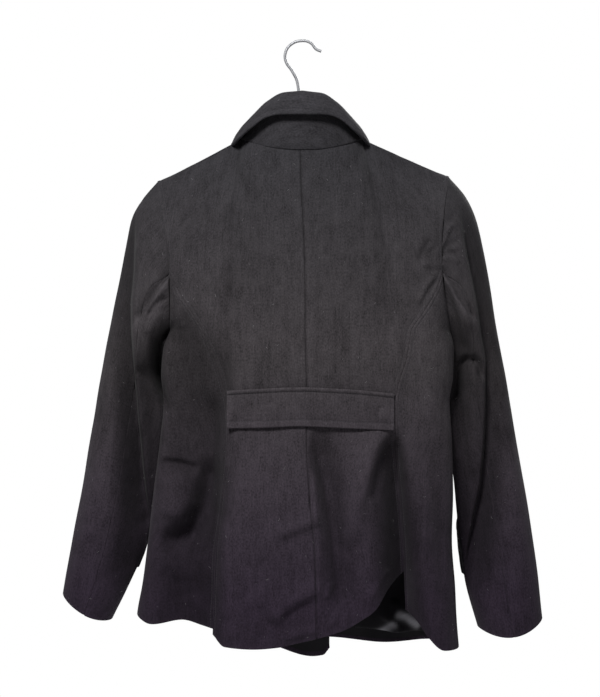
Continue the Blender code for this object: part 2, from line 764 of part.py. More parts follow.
def collar_grid():
    """The collar's middle layer: rows run round the neck, columns from the seam over the crest."""
    along = np.linspace(0, 1, COLLAR_STATIONS + 1)
    halves = []
    for side in (-1, 1):
        facing = np.radians(read(COLLAR, along, "facing"))[:, None]
        stand, lean, reach, drop, forward = (
            read(COLLAR, along, name)[:, None] for name in ("stand", "lean", "reach", "drop", "forward")
        )
        out = np.concatenate([side * np.sin(facing), -np.cos(facing), 0 * facing], -1)
        up = np.array([0, 0, 1.0])
        ahead = np.array([0, 1.0, 0])
        seam = collar_seam(side, along) + up * COLLAR_SEAM
        seam = seam + ahead * COLLAR_AHEAD * ease((along - COLLAR_NECK) / COLLAR_EASE)[:, None]
        fade = np.clip((1 - along[:, None]) / (1 - COLLAR_NECK), 0, 1)
        lean = lean + COLLAR_SLUMP[side] * np.sin(facing) * fade
        crest = seam + up * stand - out * lean + ahead * forward / 2
        leaf = crest + out * reach - up * drop + ahead * forward
        hub = crest + out * CREST_RADIUS - up * CREST_RADIUS
        path = [seam, (seam + hub - out * CREST_RADIUS) / 2 + out * STAND_BOW]
        for angle in np.radians(CREST_ANGLES):
            path.append(hub + (out * np.cos(angle) + up * np.sin(angle)) * CREST_RADIUS)
        path += [(path[-1] + leaf) / 2 + out * FALL_BOW, leaf]
        halves.append(np.stack(path, 1))
    return np.concatenate([halves[0][:0:-1], halves[1]])


def make_collar(made_of):
    """One folded piece of even thickness: the stand, the roll at its crest and the fall."""
    path = collar_grid()
    normal = unit(np.cross(np.gradient(path, axis=0), np.gradient(path, axis=1)))
    half = normal * COLLAR_CLOTH / 2
    wall("collar", path + half, path - half, made_of)


def make_half_belt(made_of):
    """A band between the princess seams, made from the back's rings moved out."""
    x = np.linspace(BELT[0].x + BELT_END, BELT[-1].x - BELT_END, BELT_COLUMNS + 1)
    share = np.linspace(0, 1, 4)
    bottom, top = read(BELT, x, "bottom"), read(BELT, x, "top")
    z = bottom[None] + (top - bottom)[None] * share[:, None]
    across, depth = ring(turn_of(x[None] + 0 * z, z), z)
    points = np.stack([across, depth, z], -1)
    normal = unit(np.cross(np.gradient(points, axis=1), np.gradient(points, axis=0)))
    normal = normal * np.sign(-normal[..., 1:2])
    inner = points + normal * BELT_GAP
    wall("half_belt", inner + normal * BELT_CLOTH, inner, made_of)


def make_button(name, x, z, made_of):
    """A turned button with a raised rim, standing on the right front."""
    parts = np.linspace(0, 1, 801)
    at = front(1, parts, np.full(parts.shape, z))
    near = parts[np.argmin(np.abs(at[:, 0] - x))]
    place = front(1, near, np.array(z))
    step = front(1, near - 0.01, np.array(z)) - front(1, near + 0.01, np.array(z))
    normal = unit(np.array([-step[1], step[0], 0.0]))
    across = np.cross([0, 0, 1.0], normal)
    sides = BUTTON_SIDES
    points, faces = [], []
    for radius, out in BUTTON:
        for k in range(sides if radius else 1):
            turn = 2 * np.pi * k / sides
            flat = across * radius * np.cos(turn) + np.array([0, 0, 1.0]) * radius * np.sin(turn)
            points.append(place + normal * out + flat)
    rings = [range(1 + sides * level, 1 + sides * (level + 1)) for level in range(len(BUTTON) - 2)]
    last = len(points) - 1
    for k in range(sides):
        after = (k + 1) % sides
        faces.append((0, rings[0][after], rings[0][k]))
        faces.append((last, rings[-1][k], rings[-1][after]))
        faces += [(low[k], low[after], high[after], high[k]) for low, high in zip(rings, rings[1:])]
    add_mesh(name, points, faces, made_of)


def make_hem_lining(made_of):
    """The lining's loose fold inside the right front, seen under the raised back hem."""

    def point(row, col):
        x = LINING_X + LINING_WIDTH * col
        z = LINING_Z + LINING_HEIGHT * row
        parts = np.linspace(0, 1, 401)
        places = np.array([front(1, parts, np.full(parts.shape, level))[:, 0] for level in z[:, 0]])
        part = np.stack([np.interp(-xs, -line, parts) for xs, line in zip(x, places)])
        puff = LINING_PUFF * np.exp(-(((col - PUFF_PLACE) / PUFF_REACH) ** 2))
        inside = CLOTH + LINING_GAP + puff * (1 - ease(row)) ** PUFF_FADE
        return front(1, part, z) - np.array([0, 1.0, 0]) * inside[..., None]

    points, normals = sample(point, np.linspace(0, 1, 6), np.linspace(0, 1, 11), (0, 0, -450))
    wall("hem_lining", points, points - normals * LINING_CLOTH, made_of)


def add_rod(name, points, radius, resolution, made_of):
    """A round rod along a smooth curve through points in millimetres."""
    curve = bpy.data.curves.new(name, "CURVE")
    curve.dimensions = "3D"
    curve.bevel_depth = radius * MM
    curve.bevel_resolution = 2
    curve.use_fill_caps = True
    curve.resolution_u = resolution
    spline = curve.splines.new("BEZIER")
    spline.bezier_points.add(len(points) - 1)
    for place, knot in zip(points, spline.bezier_points):
        knot.co = Vector(place) * MM
        knot.handle_left_type = "AUTO"
        knot.handle_right_type = "AUTO"
    curve.materials.append(made_of)
    made = bpy.data.objects.new(name, curve)
    bpy.context.scene.collection.objects.link(made)


def make_hanger(steel, plastic):
    add_rod("hanger_hook", [(wire.x, 0, wire.z) for wire in HOOK], WIRE_RADIUS, 4, steel)
    ends = []
    for side in (-1, 1):
        xs = side * np.array(BAR_X)
        ends.append([(x, 0, z - BAR_DROP) for x, z in zip(xs, shoulder_z(xs))])
    middle = [(HOOK[0].x, 0, HOOK[0].z - BAR_RADIUS - SEAM)]
    add_rod("hanger_bar", ends[0] + middle + ends[1][::-1], BAR_RADIUS, 4, plastic)


def build():
    for old in list(bpy.data.objects):
        bpy.data.objects.remove(old)
    wool = material("charcoal_wool", (0.032, 0.030, 0.033), 0.95)
    lining = material("black_lining", (0.02, 0.018, 0.022), 0.45)
    plastic = material("black_button", (0.015, 0.015, 0.016), 0.35)
    steel = material("plated_steel", (0.62, 0.63, 0.65), 0.22, 1.0)
    bar = material("hanger_plastic", (0.03, 0.03, 0.032), 0.4)
    for side, name in ((-1, "left"), (1, "right")):
        make_back(f"back_{name}", side, wool)
        make_side_back(f"side_back_{name}", side, wool)
        make_front(f"front_{name}", side, wool)
        make_lapel(f"lapel_{name}", side, wool)
        make_sleeve_piece(f"upper_sleeve_{name}", side, UPPER_ANGLES, wool)
        make_sleeve_piece(f"under_sleeve_{name}", side, UNDER_ANGLES, wool)
    make_collar(wool)
    make_half_belt(wool)
    make_hem_lining(lining)
    places = [(x, z) for z in BUTTON_Z for x in BUTTON_X]
    for number, (x, z) in enumerate(places, 1):
        make_button(f"button_{number}", x, z, plastic)
    make_hanger(steel, bar)


build()
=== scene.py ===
"""The coat on its hanger as it looks: cloth with its creases, stitching, buttons, materials and studio.

X runs to the wearer's right, Y to the wearer's front and Z up. The origin is the inside top of the
hanger's hook. Sizes are in millimetres, apart from those of the flat cuts, the materials and the studio,
which are in metres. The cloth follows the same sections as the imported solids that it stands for, with the
finer creases pressed into it.
"""

import json
from collections import namedtuple

import bpy
import numpy as np
from mathutils import Matrix, Vector

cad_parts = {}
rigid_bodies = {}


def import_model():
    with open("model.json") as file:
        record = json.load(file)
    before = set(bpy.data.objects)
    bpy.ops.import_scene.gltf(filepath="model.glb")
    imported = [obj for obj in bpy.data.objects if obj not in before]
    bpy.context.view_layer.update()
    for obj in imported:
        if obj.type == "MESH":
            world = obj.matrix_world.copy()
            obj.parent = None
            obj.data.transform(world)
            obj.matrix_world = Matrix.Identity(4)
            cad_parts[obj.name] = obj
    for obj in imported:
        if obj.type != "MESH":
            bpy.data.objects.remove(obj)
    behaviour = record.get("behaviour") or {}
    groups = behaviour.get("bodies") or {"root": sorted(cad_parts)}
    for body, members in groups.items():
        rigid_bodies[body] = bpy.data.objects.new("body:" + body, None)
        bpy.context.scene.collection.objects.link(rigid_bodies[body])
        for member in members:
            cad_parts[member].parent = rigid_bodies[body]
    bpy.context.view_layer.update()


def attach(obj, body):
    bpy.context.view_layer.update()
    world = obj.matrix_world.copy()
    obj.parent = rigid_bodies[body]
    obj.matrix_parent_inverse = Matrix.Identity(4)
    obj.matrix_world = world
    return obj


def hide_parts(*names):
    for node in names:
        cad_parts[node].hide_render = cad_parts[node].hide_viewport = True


MM = 0.001
SEED = 11

# Cloth: thicknesses, the rounding of its borders, and facings inside the hem and the cuffs
CLOTH = 2.6
COLLAR_CLOTH = 4.0
BELT_CLOTH = 3.5
LINING_CLOTH = 1.2
LAPEL_GAP = 1.2
SEAM_ROUND = 0.9
CENTRE_ROUND = 1.15
EDGE_ROUND = 1.2
COLLAR_ROUND = 1.8
BELT_ROUND = 1.5
LINING_ROUND = 0.5
ROUND_LIMIT = 0.46
ROUND_STEPS = ((0.29, 0.71), (1.0, 1.0))
SIDE_BACK_TOP = 2.5
FACING = 42.0
FRONT_FACING = 84.0
FRONT_FACING_START = 168.0
FRONT_HEM = 3.0
WEAR_REACH = 2.5
SEAM_SHADE = 0.6
SEAM_SHADE_REACH = 1.1

# Topstitched edges: how far the edge swells and its groove sinks, measured in from the edge
SewnEdge = namedtuple("SewnEdge", "swell start run groove inset reach")
PANEL_EDGE = SewnEdge(0.35, 2.6, 2.0, 0.4, 4.6, 1.0)
BELT_TOP_EDGE = SewnEdge(0.7, 2.4, 1.6, 1.5, 4.6, 1.1)
BELT_LOWER_EDGE = SewnEdge(0.6, 5.0, 2.0, 0.9, 7.6, 1.4)
STITCH_PITCH = 3.6
STITCH_LENGTH = 2.7
STITCH_WIDTH = 0.55

# Loose fibres on the cloth: their density to a square metre, their sizes, and angles in radians
LINT_STEP = 3
LINT_DENSITY = 900.0
FIBRE_BEND = 2.8
FIBRE_SWEEP = 1.4
FIBRE_RADIUS = 0.15
FIBRE_SCALES = (0.35, 1.1)
FIBRE_TILT = 0.25
FIBRE_SPIN = 6.28

# Points along and across each piece
DENSE = 300
BUNCH = 0.5
BACK_GRID = (300, 84)
BACK_MEASURE = 0.3
SIDE_BACK_GRID = (236, 66)
FRONT_GRID = (190, 90)
LAPEL_GRID = (60, 34)
SLEEVE_ROWS = 170
UPPER_COLS = 100
UNDER_COLS = 64
COLLAR_ROWS = 66
LEAF_COLS = 18
CREST_COLS = 13
BELT_GRID = (40, 110)
LINING_GRID = (34, 40)
FRONT_SAMPLES = 801
LINING_SAMPLES = 401
HEM_PASSES = 3
MEASURE = 0.5

# Creases, and the quiet unevenness of hung cloth
CREASE_STEPS = 4
END_FADE = 0.18
SKEW_BLEND = 0.12
# Crease depth at which the painted shade of the folds nears its full strength
HOLLOW_DEPTH = 15.0
UNEVEN = 0.7
WAVES = 14
SHORTEST_WAVE = 34.0
LONGEST_WAVE = 130.0
WAVE_TILT = 0.9
WAVE_SQUASH = 0.55
WAVE_RUN = 1.2
WAVE_BEND = 1.3
FRONT_SHIFT = 700.0
SLEEVE_SHIFT = -300.0
SLEEVE_TURN = 0.3

# Heights that the panels share
ARMPIT_Z = -406.0
UPPER = 200.0
HEM_TOP = -720.0
LEVEL_ROWS = 11
HEM_ROWS = 4
ARMHOLE_STEPS = 12
PRINCESS_STEP = 5
PRINCESS_BEND = 1.1
ARMPIT_ROW = HEM_ROWS + LEVEL_ROWS
PRINCESS_ROW = ARMPIT_ROW + PRINCESS_STEP
TOP_ROW = ARMPIT_ROW + ARMHOLE_STEPS

# Body section, shoulders and armholes
CORNERS = 2.6
ROLL = 2.4
EDGE_START = 0.2
ARM_EDGE = 0.45
NECK_HALF = 84.0
NECK_DEPTH = 52.0
NECK_BACK_Z = -156.0
NECK_POINT_Z = -136.0
NECK_TURN = 0.4
NECK_RISE = 2.4
NECK_BEND = 2.2
NECK_ROUND = 0.6
TIP = {-1: 204.0, 1: 207.0}
ARMHOLE_DEPTH = 47.0
ARMHOLE_INSET = {-1: 9.0, 1: 14.0}
SIDE_FADE = 0.3

# Fronts: the right one laps over the left one
LAP = {-1: 40.0, 1: 85.0}
BREAK = 0.21
OVER_LIFT = 4.6
OVER_SWELL = 5.6
SWELL_Z = -292.0
SWELL_REACH = 80.0
LIFT_START = 0.15
LIFT_RUN = 0.3
LIFT_FADE = 4
LAPEL_TOP = 0.71
LAPEL_START = 0.02
LAPEL_WIDTH = 88.0
LAPEL_FOOT = 10.0
LAPEL_DIP = 12.0
LAPEL_FLARE = 0.8
LAPEL_PLAIN_ROWS = 4
ROLL_ANGLES = (165, 140, 115, 90, 65, 40, 18)

# Collar
CREST_RADIUS = 6.0
CREST_TURN = (180, 45)
CREST_PASSES = 4
STAND_BOW = 1.0
FALL_BOW = 2.5
COLLAR_SPREAD = 0.9
COLLAR_AHEAD = 4.0
COLLAR_EASE = 0.2
COLLAR_SLUMP = {-1: 0.0, 1: 3.5}
COLLAR_NECK = 0.6
COLLAR_SINK = 0.6
COLLAR_UNEVEN = 0.5
COLLAR_WAVES = (1.4, 2.0)
# FALL_LIGHT, FALL_START and FALL_RUN: painted light on the collar's fall, the column where it starts and how
# many it grows over
FALL_LIGHT = 0.5
FALL_START = 22
FALL_RUN = 6
FALL_EDGE = 8
GORGE = 0.74

# Half belt
BELT_GAP = 1.2
BELT_END = 2.0
BELT_PUFF = 0.9
BELT_PUFF_TOP = 6.0
BELT_PUFF_LOW = 9.0
BELT_PUFF_RUN = 9.0
BELT_UNEVEN = 0.4
BELT_WAVES = 1.5

# Buttons and their thread
BUTTON_SIDES = 48
BUTTON_X = (-58.0, 62.0)
BUTTON_Z = (-392.0, -478.0, -564.0)
BUTTON_STEP = 0.01
BUTTON_SHARP = 40.0
HOLE_PLACE = 2.1
HOLE_RADIUS = 1.0
HOLE_SIDES = 16
THREAD_RADIUS = 0.34
THREAD_SHIFT = 0.3
THREAD_PAST = 0.3
THREAD_SIDES = 8
THREAD_STEPS = 13
THREAD_OUT = 3.3
THREAD_RISE = 1.0
THREAD_FLAT = 4
THREAD_DIP = 1.6
THREAD_DIP_START = 0.95

# Hanger
WIRE_RADIUS = 2.0
BAR_RADIUS = 6.0
BAR_DROP = 22.0
BAR_SINK = 6.3
BAR_X = (182.0, 130.0, 84.0)
ROD_BEVEL = 6
ROD_STEPS = 14
ROD_SHARP = 50.0

# Points inside the body, the chest and a sleeve, from which their cloth faces away
MIDDLE = (0, 0, -450)
CHEST = (0, 0, -300)
SLEEVE_MIDDLE = (262, 30, -520)

Ring = namedtuple("Ring", "z left right back front")
BODY = [
    Ring(-890, 238, 223, 104, 86),
    Ring(-804, 232, 217, 101, 85),
    Ring(-764, 225, 215, 99, 85),
    Ring(-702, 217, 211, 96, 84),
    Ring(-632, 209, 213, 91, 83),
    Ring(-561, 200, 211, 84, 81),
    Ring(-505, 195, 208, 80, 80),
    Ring(-470, 199, 213, 82, 81),
    Ring(-434, 196, 214, 84, 82),
    Ring(-406, 186, 208, 84, 82),
]

Shoulder = namedtuple("Shoulder", "x left_z right_z")
SHOULDER = [
    Shoulder(84, -136, -136),
    Shoulder(108, -148, -147),
    Shoulder(132, -161, -158),
    Shoulder(155, -173, -168),
    Shoulder(178, -185, -178),
    Shoulder(207, -198, -190),
]

Seam = namedtuple("Seam", "z princess_left centre princess_right")
SEAMS = [
    Seam(-830, -123, 19, 144),
    Seam(-722, -120, 17, 142),
    Seam(-640, -111, 10, 136),
    Seam(-557, -101, 6, 128),
    Seam(-516, -104, 6, 126),
    Seam(-484, -109, 6, 131),
    Seam(-446, -121, 5, 143),
    Seam(-406, -138, 4, 150),
    Seam(-297, -178, 1, 190),
    Seam(-156, -178, -5, 190),
]

Hem = namedtuple("Hem", "x z")
HEMS = {
    "side_back_left": [Hem(-233, -804), Hem(-210, -812), Hem(-166, -806), Hem(-139, -812), Hem(-123, -815)],
    "back_left": [
        Hem(-123, -822),
        Hem(-106, -837),
        Hem(-70, -838),
        Hem(-33, -836),
        Hem(-3, -830),
        Hem(19, -825),
    ],
    "back_right": [
        Hem(19, -825),
        Hem(58, -813),
        Hem(79, -801),
        Hem(99, -788),
        Hem(119, -762),
        Hem(144, -741),
    ],
    "side_back_right": [Hem(144, -795), Hem(158, -808), Hem(174, -830), Hem(197, -848), Hem(217, -850)],
    "front_left": [
        Hem(-233, -804),
        Hem(-200, -812),
        Hem(-130, -830),
        Hem(-70, -850),
        Hem(-32, -870),
        Hem(15, -882),
        Hem(31, -880),
        Hem(40, -869),
    ],
    "front_right": [
        Hem(-85, -848),
        Hem(50, -854),
        Hem(108, -859),
        Hem(154, -854),
        Hem(190, -851),
        Hem(217, -850),
    ],
}

# Large folds, which the solids have as well
Fold = namedtuple("Fold", "x z depth reach")
BACK_FOLDS = {
    "left of the belt": [
        Fold(-120, -486, 0, 12),
        Fold(-121, -540, 7, 14),
        Fold(-126, -610, 16, 17),
        Fold(-131, -655, 22, 20),
        Fold(-152, -684, 21, 21),
        Fold(-188, -708, 9, 18),
    ],
    "left hem hollow": [Fold(-158, -700, 12, 34), Fold(-160, -760, 24, 38), Fold(-154, -840, 27, 36)],
    "left side swell": [Fold(-168, -560, 0, 26), Fold(-168, -628, -9, 30), Fold(-172, -672, 0, 24)],
    "right of the belt": [
        Fold(127, -535, 0, 12),
        Fold(129, -570, 11, 14),
        Fold(133, -620, 22, 17),
        Fold(138, -680, 32, 19),
        Fold(141, -740, 41, 21),
        Fold(143, -800, 46, 22),
        Fold(144, -860, 47, 22),
    ],
    "right ridge": [
        Fold(112, -545, 0, 16),
        Fold(88, -595, -7, 20),
        Fold(78, -650, -7, 24),
        Fold(74, -760, -4, 28),
    ],
    "beside the centre seam": [
        Fold(22, -540, 3, 12),
        Fold(34, -610, 6, 15),
        Fold(46, -690, 4, 18),
        Fold(52, -790, 0, 18),
    ],
    "centre ridge": [
        Fold(20, -590, 0, 9),
        Fold(22, -660, -4, 11),
        Fold(24, -740, -4, 12),
        Fold(30, -840, -2, 14),
    ],
    "left centre": [Fold(-60, -570, 0, 24), Fold(-62, -680, -5, 30), Fold(-64, -840, -7, 34)],
    "left blade": [Fold(-104, -300, 0, 16), Fold(-106, -360, 4, 20), Fold(-100, -440, 0, 18)],
    "right blade": [Fold(112, -300, 0, 16), Fold(116, -370, 4, 20), Fold(112, -450, 0, 18)],
}
FRONT_FOLDS = {
    "right hip": [Fold(128, -560, 0, 20), Fold(134, -680, 9, 26), Fold(140, -860, 16, 30)],
    "left hip": [Fold(-132, -560, 0, 20), Fold(-138, -690, 8, 26), Fold(-144, -860, 15, 30)],
    "right chest": [Fold(126, -300, 0, 18), Fold(122, -370, 5, 22), Fold(116, -470, 0, 20)],
    "left chest": [Fold(-124, -300, 0, 18), Fold(-120, -370, 5, 22), Fold(-112, -470, 0, 20)],
    "lower edge": [Fold(-40, -660, 0, 26), Fold(-44, -760, -4, 32), Fold(-46, -860, -6, 36)],
}
SLEEVE_FOLDS = {
    -1: {
        "elbow": [Fold(-300, -500, 0, 14), Fold(-286, -530, 5, 16), Fold(-262, -556, 0, 14)],
        "wrist": [Fold(-262, -690, 0, 16), Fold(-276, -730, -4, 18), Fold(-296, -770, 0, 16)],
    },
    1: {
        "elbow": [Fold(306, -530, 0, 14), Fold(290, -560, 5, 16), Fold(266, -582, 0, 14)],
        "wrist": [Fold(252, -720, 0, 16), Fold(276, -752, -4, 18), Fold(308, -778, 0, 16)],
    },
}
SLEEVE_FRONT_FOLDS = {
    -1: {"bend": [Fold(-222, -440, 0, 14), Fold(-244, -490, 8, 16), Fold(-276, -520, 0, 16)]},
    1: {"bend": [Fold(236, -440, 0, 14), Fold(254, -500, 8, 16), Fold(286, -530, 0, 16)]},
}

# Creases: a depth above 0 is a trough, below 0 a ridge, and skew widens the side to the right of a path
# that goes down
Crease = namedtuple("Crease", "depth reach skew path")
LEFT_UNDERARM = [(-178, -392), (-190, -407), (-201, -421), (-204, -455), (-197, -494), (-189, -524)]
BACK_CREASES = [
    Crease(-3.6, 7, 0.4, [(-52, -163), (-55, -230), (-54, -310), (-50, -400)]),
    Crease(3.4, 9, -0.3, [(-70, -176), (-72, -270), (-69, -370)]),
    Crease(3.4, 9, 0.3, [(-103, -226), (-99, -312), (-103, -400)]),
    Crease(-1.4, 7, 0, [(-118, -196), (-116, -262)]),
    Crease(-1.3, 10, 0, [(58, -189), (64, -280), (60, -366)]),
    Crease(1.2, 9, 0, [(36, -203), (40, -270), (42, -345)]),
    Crease(1.6, 10, 0, [(110, -222), (117, -290), (122, -360)]),
    Crease(-1.4, 6, 0, [(124, -400), (134, -450), (141, -486)]),
    Crease(3.4, 8, 0, [(-128, -232), (-146, -245), (-168, -252)]),
    Crease(1.6, 5, 0, [(-158, -264), (-155, -312)]),
    Crease(
        17,
        34,
        -0.6,
        [(-106, -396), (-110, -470), (-116, -540), (-120, -620), (-125, -700), (-128, -780), (-130, -850)],
    ),
    Crease(19, 32, 0, [(-172, -372), (-167, -420), (-162, -470), (-158, -530), (-162, -590), (-170, -680)]),
    Crease(-5, 24, 0, [(170, -330), (178, -400), (180, -470), (174, -550)]),
    Crease(6, 26, 0, [(178, -550), (180, -640), (186, -760)]),
    Crease(30, 6, 0, LEFT_UNDERARM),
    Crease(8.0, 7, -0.2, [(-200, -589), (-172, -592), (-142, -600)]),
    Crease(-3.5, 12, 0, [(-190, -566), (-168, -564), (-146, -574)]),
    Crease(8, 19, -0.6, [(-120, -490), (-123, -540), (-126, -600), (-130, -640), (-141, -668)]),
    Crease(12, 21, 0.2, [(-122, -580), (-131, -646), (-148, -675), (-170, -693), (-200, -712)]),
    Crease(-6, 20, 0, [(-172, -602), (-168, -640), (-178, -672)]),
    Crease(4.5, 13, 0, [(-196, -736), (-178, -752), (-168, -784)]),
    Crease(-3, 9, 0, [(-160, -776), (-138, -788), (-122, -800)]),
    Crease(2.4, 6, -0.4, [(-97, -548), (-96, -610), (-100, -680)]),
    Crease(-6.5, 9, 0.05, [(-36, -688), (-14, -677), (4, -670), (28, -661)]),
    Crease(-9.5, 11, 0.05, [(-44, -806), (-22, -780), (0, -767), (30, -753)]),
    Crease(1.4, 4.5, -0.35, [(-30, -800), (-12, -785), (16, -772)]),
    Crease(-5.0, 7, 0.1, [(-30, -828), (-4, -818), (26, -811)]),
    Crease(3.4, 10, 0, [(-58, -716), (-38, -731), (-24, -750)]),
    Crease(-2.6, 12, 0, [(-84, -770), (-72, -800), (-66, -832)]),
    Crease(2.6, 9, 0, [(-58, -776), (-50, -800), (-54, -830)]),
    Crease(-3.4, 5.5, 0.2, [(14, -590), (18, -650), (22, -720), (27, -790)]),
    Crease(14, 20, 0.4, [(14, -536), (28, -600), (40, -655), (48, -720), (54, -800)]),
    Crease(-9, 15, -0.3, [(118, -536), (98, -582), (84, -618), (72, -655), (66, -710)]),
    Crease(6.5, 9, 0.4, [(122, -548), (107, -582), (99, -610), (92, -645)]),
    Crease(20, 22, -0.6, [(126, -540), (131, -620), (136, -680), (140, -740), (143, -820)]),
    Crease(-3.2, 5, 0.3, [(62, -766), (48, -788), (36, -812)]),
    Crease(-2.6, 4.5, 0, [(40, -748), (32, -772)]),
    Crease(-2.4, 5, -0.3, [(62, -778), (60, -812)]),
    Crease(-2.8, 6, 0.3, [(94, -772), (106, -750), (120, -734)]),
    Crease(-2.0, 9, 0, [(176, -560), (172, -640), (178, -720)]),
    Crease(2.6, 10, 0, [(192, -600), (190, -700), (196, -790)]),
]
ARMHOLE_CREASES = [
    Crease(-2.2, 4, 0.3, [(-200, -206), (-190, -236), (-182, -254)]),
    Crease(-2.2, 4, 0, [(-176, -210), (-174, -240), (-167, -260)]),
    Crease(2.4, 4, 0, [(-187, -214), (-181, -242), (-184, -262)]),
    Crease(1.8, 4, 0, [(-181, -256), (-182, -322), (-183, -358)]),
    Crease(-2.4, 5, 0.3, [(-177, -345), (-172, -386), (-171, -410)]),
    Crease(2.0, 5, 0, [(-170, -366), (-165, -400)]),
    Crease(2.2, 4, 0, [(204, -200), (194, -236), (190, -300), (188, -326)]),
    Crease(3.4, 5, 0, [(178, -280), (168, -296), (160, -314)]),
    Crease(3.6, 3.5, 0, [(200, -264), (188, -288), (170, -304)]),
    Crease(-3.4, 3.5, 0, [(208, -258), (196, -282), (188, -304)]),
    Crease(3.4, 3.5, 0, [(186, -308), (200, -300), (218, -299)]),
    Crease(-3.8, 4, 0.2, [(168, -268), (182, -284), (194, -300)]),
    Crease(-3.2, 4, 0, [(164, -313), (182, -318), (198, -316)]),
    Crease(-2.4, 4.5, 0, [(188, -326), (172, -346), (160, -372)]),
    Crease(2.6, 4, 0, [(186, -336), (170, -358), (160, -380)]),
]
SLEEVE_CREASES = {
    -1: [
        Crease(
            24,
            14,
            -0.7,
            [(-236, -216), (-238, -325), (-243, -371), (-242, -430)]
            + [(-237, -510), (-230, -610), (-216, -720)],
        ),
        Crease(
            28,
            26,
            -0.3,
            [(-204, -400), (-210, -490), (-216, -560), (-220, -640), (-230, -720), (-244, -800)],
        ),
        Crease(40, 6, 0, LEFT_UNDERARM),
        Crease(5.5, 5.5, -0.35, [(-182, -322), (-197, -346), (-211, -364), (-222, -381), (-240, -400)]),
        Crease(-3.4, 6, 0.3, [(-186, -340), (-203, -362), (-222, -390)]),
        Crease(4.5, 5, -0.3, [(-186, -360), (-203, -371), (-216, -390)]),
        Crease(-2.6, 6, 0, [(-190, -380), (-206, -394), (-218, -414)]),
        Crease(-2.0, 5, 0, [(-228, -386), (-238, -420)]),
        Crease(-6, 20, 0, [(-200, -318), (-210, -364), (-216, -410), (-218, -470)]),
        Crease(3.5, 7, 0, [(-236, -458), (-216, -478), (-196, -500)]),
        Crease(-3.5, 9, 0, [(-228, -504), (-221, -560), (-222, -620)]),
        Crease(4.5, 6, 0, [(-234, -540), (-229, -590), (-230, -640)]),
        Crease(4.5, 8, 0, [(-204, -640), (-216, -668), (-232, -690)]),
        Crease(3.5, 16, 0, [(-300, -690), (-276, -722), (-256, -760)]),
        Crease(-3.0, 14, 0, [(-292, -560), (-300, -640), (-314, -720)]),
    ],
    1: [
        Crease(
            25,
            14,
            0.7,
            [(221, -216), (230, -283), (245, -356), (255, -416), (262, -447)]
            + [(263, -530), (259, -610), (248, -680), (232, -790)],
        ),
        Crease(34, 26, 0.3, [(212, -380), (220, -470), (232, -560), (234, -640), (232, -720), (232, -800)]),
        Crease(-2.8, 4, 0, [(186, -282), (200, -268), (216, -256)]),
        Crease(2.6, 4.5, 0, [(190, -262), (204, -254), (214, -246)]),
        Crease(3.0, 5, 0, [(188, -298), (204, -288), (222, -280)]),
        Crease(-2.2, 5, 0, [(188, -304), (204, -306), (220, -314)]),
        Crease(4.5, 4.5, 0.3, [(194, -316), (210, -344), (226, -370), (248, -398)]),
        Crease(-4.0, 7, 0, [(192, -324), (208, -356), (226, -386), (240, -410)]),
        Crease(7.0, 7, -0.3, [(190, -334), (205, -364), (215, -395), (224, -424), (236, -442)]),
        Crease(12, 5, 0, [(218, -506), (220, -474), (228, -450), (243, -443)]),
        Crease(10, 5.5, 0, [(236, -444), (248, -453), (254, -476)]),
        Crease(-7, 12, 0, [(232, -452), (239, -486), (240, -540), (240, -620)]),
        Crease(-4.0, 9, 0, [(228, -486), (238, -520), (238, -590), (234, -650)]),
        Crease(3.0, 14, 0, [(300, -700), (284, -740), (272, -790)]),
        Crease(-3.0, 14, 0, [(296, -560), (306, -640), (318, -740)]),
    ],
}
FRONT_CREASES = [
    Crease(3.0, 7, 0, [(150, -470), (128, -520), (118, -570)]),
    Crease(-2.0, 6, 0, [(138, -480), (116, -530)]),
    Crease(3.5, 6, 0, [(96, -640), (106, -700), (110, -770)]),
    Crease(-2.4, 8, 0, [(60, -640), (66, -730), (62, -840)]),
    Crease(2.2, 6, 0, [(-20, -600), (-12, -680), (-16, -760)]),
    Crease(-2.0, 5, 0, [(-30, -585), (-60, -620)]),
    Crease(2.6, 7, 0, [(-118, -500), (-102, -560), (-98, -620)]),
    Crease(-2.2, 7, 0, [(-140, -520), (-120, -600)]),
    Crease(3.0, 8, 0, [(-168, -600), (-160, -700), (-166, -790)]),
    Crease(2.4, 5, 0, [(160, -300), (148, -330), (128, -350)]),
    Crease(2.0, 5, 0, [(-158, -296), (-144, -330), (-126, -356)]),
    Crease(-1.6, 5, 0, [(168, -360), (150, -392)]),
    Crease(-1.8, 5, 0, [(-166, -352), (-150, -388)]),
    Crease(1.6, 4, 0, [(84, -420), (40, -440)]),
    Crease(1.4, 4, 0, [(70, -508), (36, -520), (4, -516)]),
]
SLEEVE_FRONT_CREASES = {
    -1: [
        Crease(3.0, 5, 0, [(-206, -430), (-226, -452), (-254, -462)]),
        Crease(-2.4, 6, 0, [(-204, -452), (-230, -474), (-262, -482)]),
        Crease(3.4, 6, 0, [(-210, -520), (-236, -540), (-268, -544)]),
        Crease(-2.2, 7, 0, [(-232, -330), (-246, -380)]),
        Crease(2.0, 6, 0, [(-214, -300), (-226, -346)]),
        Crease(2.2, 9, 0, [(-268, -620), (-276, -700)]),
    ],
    1: [
        Crease(3.2, 5, 0, [(216, -420), (240, -446), (268, -452)]),
        Crease(-2.4, 6, 0, [(218, -446), (246, -470), (276, -474)]),
        Crease(3.0, 6, 0, [(222, -516), (250, -548), (284, -556)]),
        Crease(-2.4, 7, 0, [(238, -320), (252, -376)]),
        Crease(2.2, 6, 0, [(220, -296), (234, -344)]),
        Crease(2.4, 9, 0, [(284, -640), (290, -730)]),
    ],
}
BELT_CREASES = [
    Crease(1.6, 3.5, 0, [(110, -509), (99, -527)]),
    Crease(1.0, 4, 0, [(65, -502), (82, -509)]),
    Crease(-0.8, 5, 0, [(-60, -512), (-30, -516)]),
]
